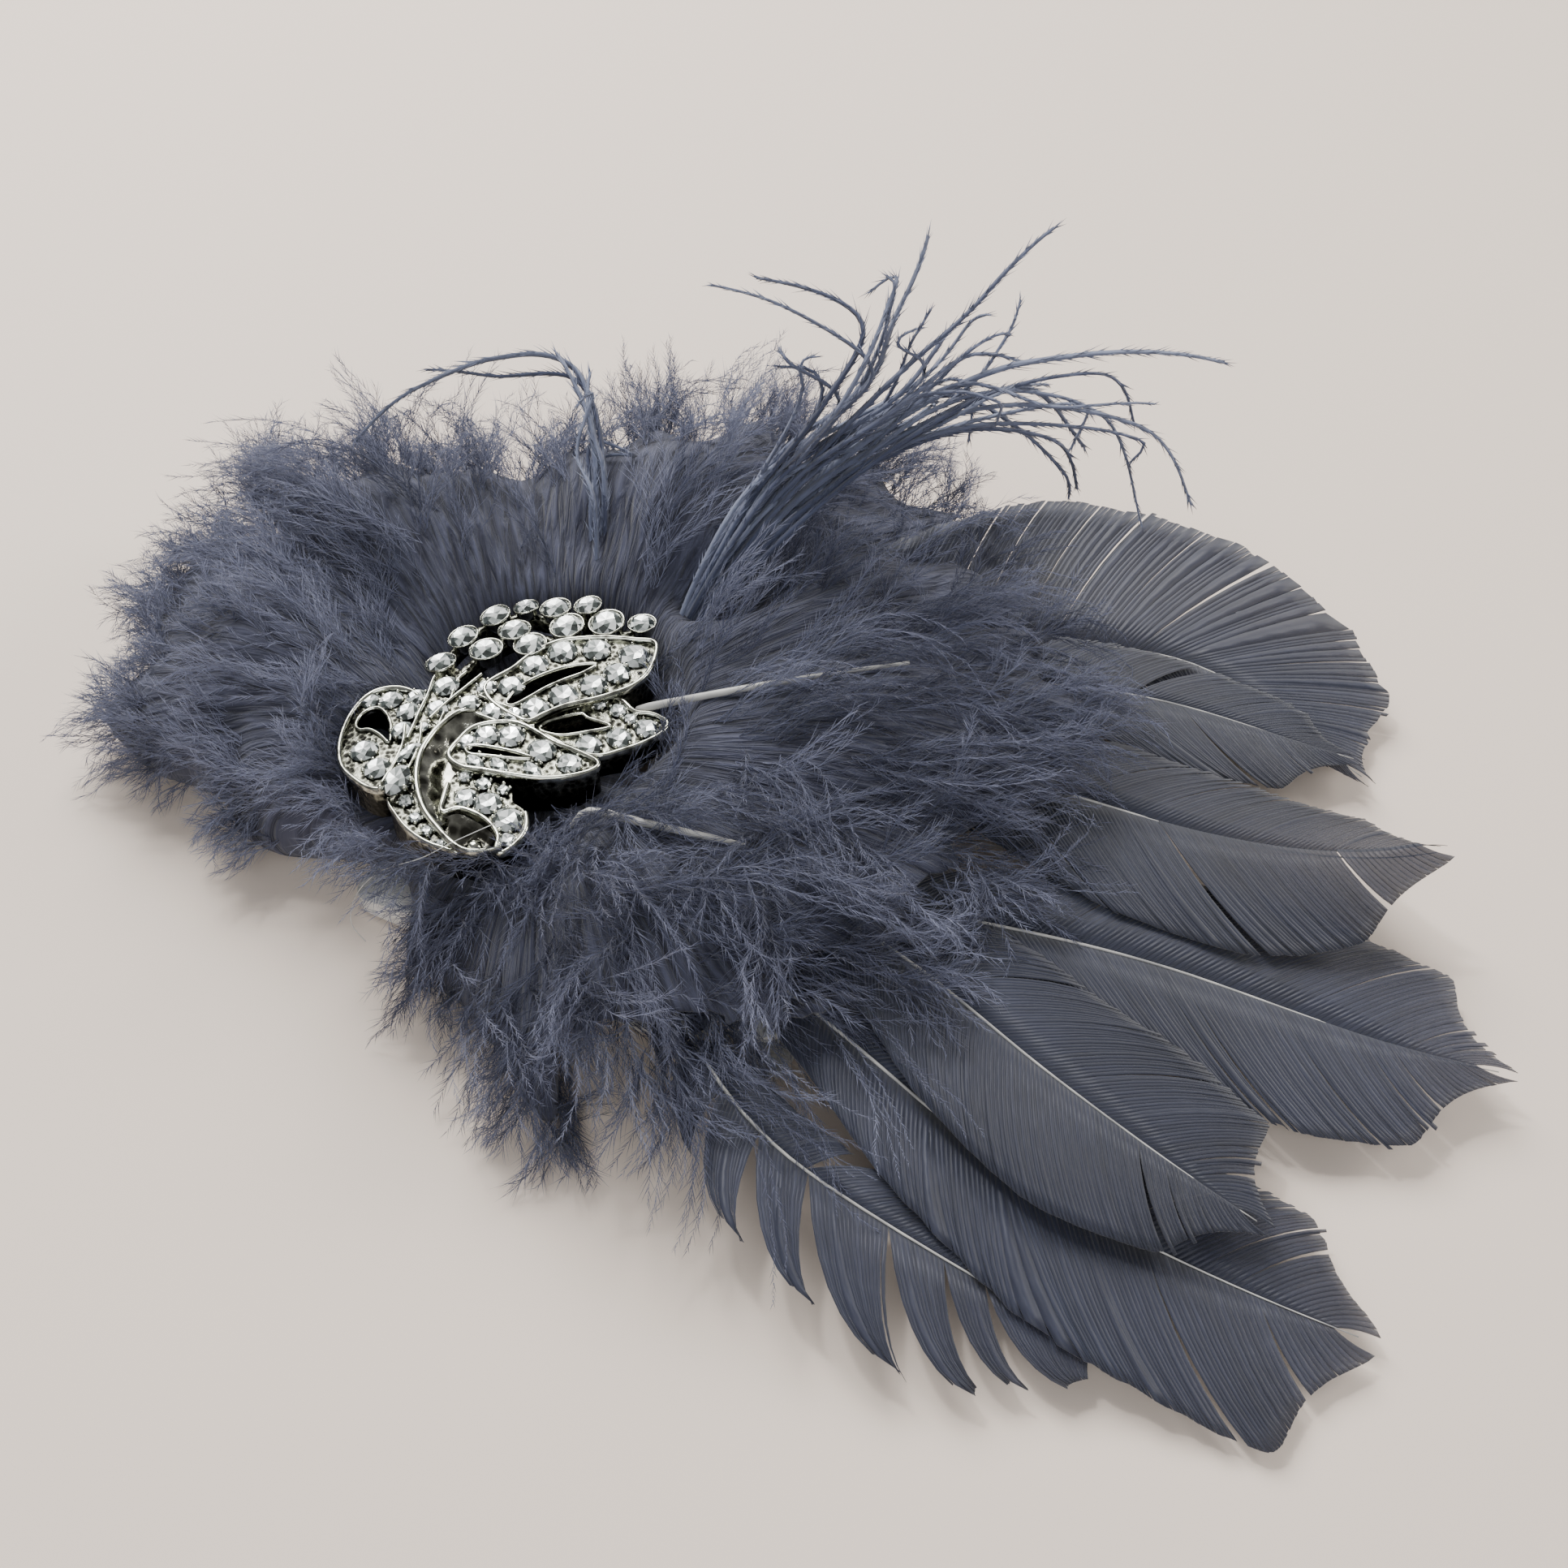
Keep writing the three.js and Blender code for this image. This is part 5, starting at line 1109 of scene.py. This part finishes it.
deep_scale = wire(marabou_depth, "ShaderNodeMapping", [("Vector", deep_grid.outputs["Vector"])],
                  Scale=(40, 160, 1))
deep_noise = wire(marabou_depth, "ShaderNodeTexNoise", [("Vector", deep_scale.outputs["Vector"])], Scale=1.0,
                  Detail=5.0, Distortion=0.8)
join_to(marabou_depth, "Base Color", ramp(marabou_depth, deep_noise.outputs["Fac"],
                                          [(0.35, (0.016, 0.017, 0.03)), (0.68, (0.07, 0.075, 0.115))]))
deep_bump = wire(marabou_depth, "ShaderNodeBump", [("Height", deep_noise.outputs["Fac"])],
                 Strength=1.0, Distance=0.0015)
join_to(marabou_depth, "Normal", deep_bump.outputs["Normal"])

plumes = ["down_front", "down_front_right", "down_right", "down_right_back", "down_back", "down_left_back",
          "down_left"]
skin_step, skin_grow, mass_sink, growing_sink = 1.5, 2.4, 3.4, 2.4
depth, _, _ = soft_skin("down_mass", plumes, skin_step, skin_grow, mass_sink)
depth.materials.append(marabou_depth)
down_mass = bpy.data.objects.new("down_mass", depth)
bpy.context.scene.collection.objects.link(down_mass)
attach(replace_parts(down_mass, *plumes), "root")
# the skin that the barbs grow from, a little outside the mass
plain, place, out = soft_skin("down_skin", plumes, skin_step, skin_grow, growing_sink)
faces = [tuple(p.vertices) for p in plain.polygons]
bpy.data.meshes.remove(plain)
whole_fluff = BVHTree.FromPolygons([tuple(p) for p in place], faces)
centres = np.array([place[list(f)].mean(0) for f in faces])
normals = np.array([out[list(f)].mean(0) for f in faces])
normals /= np.linalg.norm(normals, axis=1)[:, None] + 1e-9
first_angle = -114
away = centres[:, :2] - hub
far = np.linalg.norm(away, axis=1)
angle = np.degrees(np.arctan2(away[:, 1], away[:, 0]))
angle = np.where(angle < first_angle, angle + 360, angle)
# barbs grow on what faces up or out, not under the brooch, on the table or in the folds
clear = np.hypot((centres[:, 0] + 16.5) / 17.2, (centres[:, 1] - 13.8) / 20.2)
weight = np.clip(normals[:, 2] + 0.6, 0, 1) * (clear > 0.97)
weight *= np.where((normals[:, :2] * away).sum(1) / (far + 1e-9) < -0.5, 0.35, 1.0)
weight[centres[:, 2] < 0.8] = 0
for f in np.nonzero(weight)[0]:
    start = Vector(centres[f]) + Vector(normals[f]) * 0.8
    if whole_fluff.ray_cast(start, Vector(normals[f]), 3.0)[0] is not None:
        weight[f] = 0


def surface_at(x, y, least):
    """Height of the fluff's top at a point, or the least if there is none."""
    hit = whole_fluff.ray_cast(Vector((x, y, 80)), Vector((0, 0, -1)))
    return max(least, hit[0].z) if hit[0] is not None else least


def unit(way):
    """The same direction with a length of 1."""
    return way / np.linalg.norm(way)


def heading(turn, rise):
    """A direction at an angle round the hub, with a share of upward."""
    return np.array([math.cos(turn), math.sin(turn), rise])


upward = np.array([0, 0, 1.0])


def tuft(pick, start, way, up, length, float_up, spread, short_end=0.7, hug=True):
    """Five barbs that leave one place together: a soft lock that follows the fluff and ends in wisps."""
    steps = 8
    h = length / steps
    p, middle, curl = start, [start], pick.normal(0, 0.06, 3)
    first_way = way
    for k in range(steps):
        near, out_way, _, gap = whole_fluff.find_nearest(Vector(p))
        out_way = np.array(out_way)
        if hug and gap < 7 and out_way[2] > 0.35:
            height = (p - np.array(near)).dot(out_way)
            want = -0.8 + (0.8 + float_up) * (k + 1) / steps
            way = way + out_way * np.clip((want - height) / 6, -0.3, 0.35) * 0.8
        else:
            way = way + np.array([0, 0, -0.06])
        way = unit(way + curl)
        p = p + way * h
        middle.append(p)
    middle = np.array(middle)
    t = np.linspace(0, 1, steps + 1)[:, None]
    side_way = np.cross(first_way, up)
    side_way = side_way / (np.linalg.norm(side_way) + 1e-9)
    lift_way = np.cross(side_way, first_way)
    made = []
    for _ in range(5):
        apart = side_way * pick.normal(0, spread) + lift_way * pick.normal(0.3, spread * 0.45)
        path = middle[0] + (middle - middle[0]) * pick.uniform(short_end, 1.05)
        path = path + apart * t * (1.25 - 0.45 * t * t) + pick.normal(0, 0.5, 3) * (1 - t)
        path = path + pick.normal(0, 0.3, 3) * np.sin(t * pick.uniform(5, 9))
        path[:, 2] = np.maximum(path[:, 2], 0.4 + 0.5 * t[:, 0])
        made.append(path)
    return made


# each plume: its sector from and to in degrees, tufts, their length in mm, the spread of their yaw and
# pitch, how far they float up in mm, and how full their barbs are
plume_growth = {
    "down_front": (first_angle, -54, 48, 17, 0.55, 0.35, 2.5, 1.0),
    "down_front_right": (-54, 15, 104, 16, 0.7, 0.5, 3.0, 1.05),
    "down_right": (15, 53, 80, 19, 0.5, 0.4, 3.0, 1.0),
    "down_right_back": (53, 87, 58, 20, 0.4, 0.5, 5.5, 1.0),
    "down_back": (87, 123, 70, 21, 0.32, 0.5, 6.5, 1.0),
    "down_left_back": (123, 158, 84, 21, 0.32, 0.5, 6.0, 1.0),
    "down_left": (158, 246, 120, 16, 0.38, 0.42, 3.0, 1.0),
}


def plume_of(turn):
    """The plume whose sector holds an angle in degrees."""
    return next(key for key in plumes if plume_growth[key][0] <= turn < plume_growth[key][1])


barb_nodes, barb_keys = barb_tree("marabou_barbs", marabou)
grown = {node: ([], [], []) for node in plumes}

# points along the two groups of ostrich strands, near their roots, and the box over the clip's tip
strand_roots = np.array([(-10, 35, 16), (-7.5, 39.5, 21), (-5, 44, 25.5), (-2, 48.5, 30), (-19, 36, 16),
                         (-20.5, 39, 21), (-22, 42, 26)], float)
tip_low, tip_high = np.array([-34, -16, -1]), np.array([-21, 1, 11])
highest_barb = 33


def is_clear(path):
    """Whether a barb leaves the strands, the clip's tip and the ground behind the clip in view."""
    if np.linalg.norm(path[:, None] - strand_roots[None], axis=2).min() < 4.0:
        return False
    over_tip = ((path > tip_low) & (path < tip_high)).all(axis=1)
    x, y, z = path[-1]
    turn = math.degrees(math.atan2(y - hub[1], x - hub[0]))
    behind = 35 < turn < 125 and z < 10
    return not over_tip.any() and not behind and path[:, 2].max() < highest_barb


def keep_tuft(node, pick, made, fullness):
    """Adds a tuft's barbs to its plume, in paler tones at the back and left: painted light on the side the
    lamp falls on.
    """
    painted_lit_side = node in ("down_back", "down_left_back", "down_left")
    # painted light: barbs of the back and left plumes drawn paler, the rest a little darker
    tone = pick.uniform(0.0, 0.42) + (0.14 if painted_lit_side else -0.03)
    for path in made:
        if not is_clear(path):
            continue
        grown[node][0].append(path)
        grown[node][1].append(fullness * pick.uniform(0.75, 1.15))
        grown[node][2].append(tone + pick.uniform(-0.08, 0.08))


# how near the rim each face lies, 0 to 1
edge_turns = np.arange(first_angle, 247, 3)
edge_at = np.array([far[(angle >= a - 6) & (angle < a + 6)].max() for a in edge_turns])
rimness = ease((far / np.interp(angle, edge_turns, edge_at) - 0.6) / 0.4)
for number, node in enumerate(plumes):
    first_turn, last_turn, tufts, length, yaw, pitch, float_most, fullness = plume_growth[node]
    pick = np.random.default_rng(100 + number)
    share_of = weight * (angle >= first_turn) * (angle < last_turn)
    for f in pick.choice(len(centres), tufts, p=share_of / share_of.sum()):
        c, n = centres[f], normals[f]
        turn = math.atan2(c[1] - hub[1], c[0] - hub[0]) + pick.normal(0, yaw)
        flow = heading(turn, 0.0)
        way = flow - n * flow.dot(n) * 0.8
        way = way / (np.linalg.norm(way) + 1e-9) + n * abs(pick.normal(0, pitch)) * 0.8
        way /= np.linalg.norm(way)
        # shorter where the photograph's edge runs close: at the left and at the front
        shorter = 1 - 0.36 * ease((angle[f] - 160) / 30) - 0.3 * ease((-72 - angle[f]) / 20)
        reach = length * pick.uniform(0.65, 1.25) * (1 - 0.5 * rimness[f]) * shorter
        made = tuft(pick, c - n * 1.2, way, n, reach, pick.uniform(0.3, float_most), 2.1)
        keep_tuft(node, pick, made, fullness)

# a soft fringe along the rim at the back and left, short and close
pick = np.random.default_rng(47)
rim_share = (angle > 62) * (angle < 240) * (normals[:, 2] > -0.1) * (normals[:, 2] < 0.75) * rimness ** 2
rim_share = rim_share * (centres[:, 2] > 4)
for f in pick.choice(len(centres), 120, p=rim_share / rim_share.sum()):
    turn = math.radians(angle[f]) + pick.normal(0, 0.35)
    way = heading(turn, 0) * 0.75 + normals[f] * 0.35
    way = way + np.array([0, 0, 0.75 if angle[f] < 165 else 0.15])
    reach = pick.uniform(7.5, 13) * (1 if angle[f] < 160 else 0.42)
    made = tuft(pick, centres[f] - normals[f] * 1.5, unit(way), normals[f], reach, 2.0, 2.8, 0.6, False)
    keep_tuft(plume_of(angle[f]), pick, made, 1.0)

# short down that hangs over the low rim at the left
pick = np.random.default_rng(53)
low_share = (angle > 150) * (normals[:, 2] < 0.6) * (normals[:, 2] > -0.35) * (centres[:, 2] > 1.2) * rimness
for f in pick.choice(len(centres), 80, p=low_share / low_share.sum()):
    turn = math.radians(angle[f]) + pick.normal(0, 0.6)
    way = heading(turn, pick.uniform(-0.5, 0.35)) * 0.8 + normals[f] * 0.4
    made = tuft(pick, centres[f] - normals[f] * 1.5, unit(way), normals[f], pick.uniform(5, 8.5), 1.0, 1.8,
                0.6, False)
    keep_tuft(plume_of(angle[f]), pick, made, 0.9)

# down that fills the two dips in the rim between the plumes at the left: plume, place, way, tufts
for node, dip, toward, count in (("down_left_back", (-67, 27, 11), 172, 12),
                                 ("down_left", (-61, 12, 9), 178, 10)):
    for k in range(count):
        turn = math.radians(toward + pick.normal(0, 22))
        way = heading(turn, pick.uniform(0.0, 0.5))
        root = np.array(dip) + pick.normal(0, 1, 3) * np.array([1.5, 4.0, 1.5])
        made = tuft(pick, root, unit(way), upward, pick.uniform(8, 12.5), 1.5, 2.6, 0.6, False)
        keep_tuft(node, pick, made, 1.05)

# a collar of short down that swells up round the brooch and covers its foot
pick, collar_tufts = np.random.default_rng(41), 84
for k in range(collar_tufts):
    a = 2 * math.pi * (k + pick.uniform(-0.3, 0.3)) / collar_tufts
    x, y = -16.5 + 17.3 * math.cos(a), 13.8 + 19.8 * math.sin(a)
    hub_turn = math.degrees(math.atan2(y - hub[1], x - hub[0]))
    hub_turn = hub_turn + 360 if hub_turn < first_angle else hub_turn
    way = heading(a, 0.0) + np.array([pick.normal(0, 0.4), pick.normal(0, 0.4), pick.uniform(0.25, 0.6)])
    root = np.array([x, y, pick.uniform(13.8, 15.6)])
    made = tuft(pick, root, unit(way), upward, pick.uniform(7, 12), 2.6, 2.0, 0.7, False)
    keep_tuft(plume_of(hub_turn), pick, made, 0.95)

# the same under the leaves at the right, where the casting's outline is hollow
leaf_row = np.linspace(0, 3, 20)
leaf_x, leaf_y = (np.interp(leaf_row, range(4), line) for line in ([-6, -3.5, 0, 1.5], [1.5, 6, 12, 19]))
for x, y in zip(leaf_x, leaf_y):
    turn = pick.normal(-0.25, 0.5)
    way = heading(turn, pick.uniform(0.15, 0.45))
    root = np.array([x - 1.5, y, pick.uniform(13.4, 15.2)])
    made = tuft(pick, root, unit(way), upward, pick.uniform(7, 11), 2.4, 1.8, 0.7, False)
    keep_tuft("down_front_right" if y < 12 else "down_right", pick, made, 0.95)

# and below the scroll at the front
scroll_row = np.linspace(0, 1, 16)
for x, y in zip(np.linspace(-11.5, -3.0, 16), np.interp(scroll_row, [0, 0.6, 1], [-2.6, -1.0, 1.6])):
    turn = pick.normal(-0.5, 0.4)
    way = heading(turn, pick.uniform(0.0, 0.3))
    root = np.array([x, y, pick.uniform(12.4, 14.0)])
    made = tuft(pick, root, unit(way), upward, pick.uniform(6, 9), 2.0, 1.6, 0.7, False)
    keep_tuft("down_front_right", pick, made, 0.95)

# the skirt: down from the underside of the front plumes that hangs out over the vanes and the table
pick = np.random.default_rng(43)
for k in range(78):
    turn = math.radians(pick.uniform(-104, -70) if k % 5 == 0 else pick.uniform(-72, 2))
    reach = pick.uniform(27, 41) if turn > -0.9 else pick.uniform(17, 24)
    x, y = hub[0] + reach * math.cos(turn), hub[1] + reach * math.sin(turn)
    z = pick.uniform(8.0, 13.5) if turn > -0.9 else pick.uniform(3.0, 10.0)
    node = "down_front" if turn < -0.6 else "down_front_right"
    turn = turn + pick.normal(-0.1, 0.3)
    way = heading(turn, pick.uniform(-0.22, 0.12))
    length = pick.uniform(11, 20) if reach > 25 else pick.uniform(8, 13)
    made = tuft(pick, np.array([x, y, z]), unit(way), upward, length, 1.5, 2.3, 0.6, False)
    keep_tuft(node, pick, made, 0.95)

# long loose barbs that lie out over the vanes at the right
for k in range(46):
    turn = math.radians(pick.uniform(-38, 52))
    x, y = hub[0] + pick.uniform(40, 52) * math.cos(turn), hub[1] + pick.uniform(40, 52) * math.sin(turn)
    turn = turn + pick.normal(0, 0.35)
    way = heading(turn, pick.uniform(-0.1, 0.25))
    root = np.array([x, y, surface_at(x, y, 13.0) - 1.0])
    made = tuft(pick, root, unit(way), upward, pick.uniform(12, 20), 2.0, 1.5, 0.8, False)
    keep_tuft("down_right" if turn > 0.25 else "down_front", pick, made[:2], 0.55)

marabou_barb = {"Stem radius": 0.000055, "Barbule length": 0.0034, "Barbule width": 0.000042,
                "Spacing": 0.000372, "Lean": 0.42, "Spread": 1.0, "Waviness": 0.0005}
for node in plumes:
    feather_out(node + "_fluff", *grown[node], barb_nodes, barb_keys, marabou_barb, "down", [node])


# The quills: two of the plumes' own shafts, bare and pale, that come out from under the brooch, where
# they are glued, and lie on the fluff. Each tapers towards its tip, which ends in the down.
quills = {
    "front_quill": [(-2.5, 4.9, 15.6), (-0.3, 5.5, 18.4), (6.3, 6.4, 18.9), (14.8, 8.5, 18.4),
                    (26.0, 12.2, 16.0)],
    "back_quill": [(-5.2, 22.3, 16.4), (-4.0, 22.5, 17.6), (5.1, 26.0, 21.2), (12.6, 30.7, 22.7),
                   (20.8, 38.2, 22.3)],
}
for name, ends in quills.items():
    line = smooth_line(ends, step=1.2)
    way = np.gradient(line, axis=0)
    way /= np.linalg.norm(way, axis=1)[:, None]
    side_way = np.cross(way, (0, 0, 1))
    thick = np.linspace(0.55, 0.2, len(line))
    rings = [[line[i] + (side_way[i] * math.cos(a) + np.cross(side_way[i], way[i]) * math.sin(a)) * thick[i]
              for a in np.linspace(0, 2 * math.pi, 11)[:-1]] for i in range(len(line))]
    quill = cast(name, [(*shell_of(rings), 0)], [goose_shaft], 1.2)
    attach(quill, "root")


# The stray thread: one pale loose fibre, a tenth of a millimetre thick, caught at the foot of the
# brooch. Nothing else holds it, so it curves down over the fluff to the clip's tip.
thread_radius = 0.055
line = smooth_line([(-7.7, -0.7, 18.8), (-10.3, -4.7, 18.4), (-12.7, -7.3, 17.2), (-17.4, -8.6, 14.0),
                    (-21.2, -9.0, 9.0), (-21.4, -10.7, 6.0), (-19.6, -11.0, 4.0)], step=0.6)
rings = [[p + np.array([math.cos(a), math.sin(a) * 0.7, math.sin(a) * 0.7]) * thread_radius
          for a in np.linspace(0, 2 * math.pi, 6)[:-1]] for p in line]
stray_thread = cast("stray_thread", [(*shell_of(rings), 0)], [goose_shaft], 1.6)
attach(stray_thread, "root")


# The ostrich strands: long dyed flues stripped from an ostrich plume, bound behind the brooch in a
# spray to the right and a small group that arches to the left. Each is a fine stem with short
# barbules that thicken towards its curled end.
ostrich = down_finish("dyed_ostrich", (0.030, 0.035, 0.064), (0.078, 0.090, 0.152), (0.20, 0.225, 0.32), 0.2)
spray_reach = 70
# each group: its node, its head in mm, how many finer copies each strand has, and the strands, each
# through three points to a tip, as shares of the reach
spray_heads = [
    ("ostrich_spray", (-10.0, 35.0, 11.0), 2, [
        [(0.05, 0.18, 0.21), (0.18, 0.24, 0.44), (0.2, 0.31, 0.56), (0.03, 0.33, 0.59)],
        [(0.11, 0.2, 0.29), (0.22, 0.29, 0.46), (0.28, 0.3, 0.59), (0.31, 0.35, 0.73)],
        [(0.13, 0.2, 0.27), (0.27, 0.31, 0.46), (0.37, 0.37, 0.61), (0.44, 0.45, 0.73)],
        [(0.12, 0.21, 0.29), (0.27, 0.31, 0.43), (0.32, 0.37, 0.51), (0.3, 0.44, 0.56)],
        [(0.16, 0.22, 0.27), (0.34, 0.4, 0.44), (0.51, 0.5, 0.49), (0.69, 0.68, 0.44)],
        [(0.17, 0.23, 0.27), (0.39, 0.39, 0.41), (0.62, 0.49, 0.39), (0.73, 0.5, 0.29)],
        [(0.17, 0.21, 0.26), (0.35, 0.37, 0.36), (0.5, 0.47, 0.33), (0.54, 0.5, 0.24)],
        [(0.12, 0.2, 0.26), (0.28, 0.29, 0.43), (0.35, 0.41, 0.49), (0.4, 0.49, 0.47)],
        [(0.15, 0.22, 0.26), (0.32, 0.36, 0.39), (0.43, 0.47, 0.41), (0.52, 0.51, 0.33)],
        [(0.06, 0.16, 0.21), (0.16, 0.25, 0.39), (0.16, 0.27, 0.47), (0.09, 0.25, 0.49)]]),
    ("ostrich_curl", (-19.0, 36.0, 11.0), 1, [
        [(-0.06, 0.12, 0.23), (-0.17, 0.25, 0.36), (-0.29, 0.16, 0.39), (-0.47, 0.02, 0.29)],
        [(-0.05, 0.12, 0.23), (-0.09, 0.16, 0.29), (-0.12, 0.19, 0.33), (-0.2, 0.25, 0.39)],
        [(-0.05, 0.08, 0.19), (-0.07, 0.13, 0.25), (-0.09, 0.17, 0.29), (-0.15, 0.24, 0.37)]]),
]
strand_nodes, strand_keys = barb_tree("ostrich_barbs", ostrich)
ostrich_barb = {"Stem radius": 0.00040, "Barbule length": 0.0017, "Barbule width": 0.00010,
                "Spacing": 0.00024, "Lean": 0.30, "Spread": 1.5, "Waviness": 0.00015}
strand_pick = np.random.default_rng(55)
for node, head, extra, strands in spray_heads:
    head = np.array(head)
    paths, sizes, tones = [], [], []
    for k, row in enumerate(strands):
        for copy in range(1 + extra):
            other = strands[(k + 1) % len(strands)]
            mix = 0.0 if copy == 0 else strand_pick.uniform(0.05, 0.45)
            points = [head] + [head + (np.array(a) * (1 - mix) + np.array(b) * mix) * spray_reach
                               for a, b in zip(row, other)]
            loose = [strand_pick.normal(0, 0.3 + 0.8 * i * (copy > 0), 3) for i in range(len(points))]
            points = [p + w for p, w in zip(points, loose)]
            if copy:
                cut_back = strand_pick.uniform(0.2, 0.9)
                points = points[:-1] + [points[-2] + (points[-1] - points[-2]) * cut_back]
            line = smooth_line(points, step=1.1)
            bend = strand_pick.normal(0, 1, 3)
            t = np.linspace(0, 1, len(line))[:, None]
            wave = np.sin(t * strand_pick.uniform(6, 11) + strand_pick.uniform(0, 6)) * 0.16 * t
            curl = np.clip(t - 0.86, 0, 1) ** 2 * 90 * (0.3 + 0.7 * strand_pick.uniform())
            paths.append(line + wave * bend + curl * np.array([0.5 * bend[0], 0.5 * bend[1], -1.0]) * 1.6)
            sizes.append(strand_pick.uniform(0.85, 1.1) * (1.0 if copy == 0 else 0.8) * (1 + 1.7 * t[:, 0]))
            tones.append(strand_pick.uniform(0.05, 0.45))
    feather_out(node + "_strands", paths, sizes, tones, strand_nodes, strand_keys, ostrich_barb, "ostrich",
                [node])
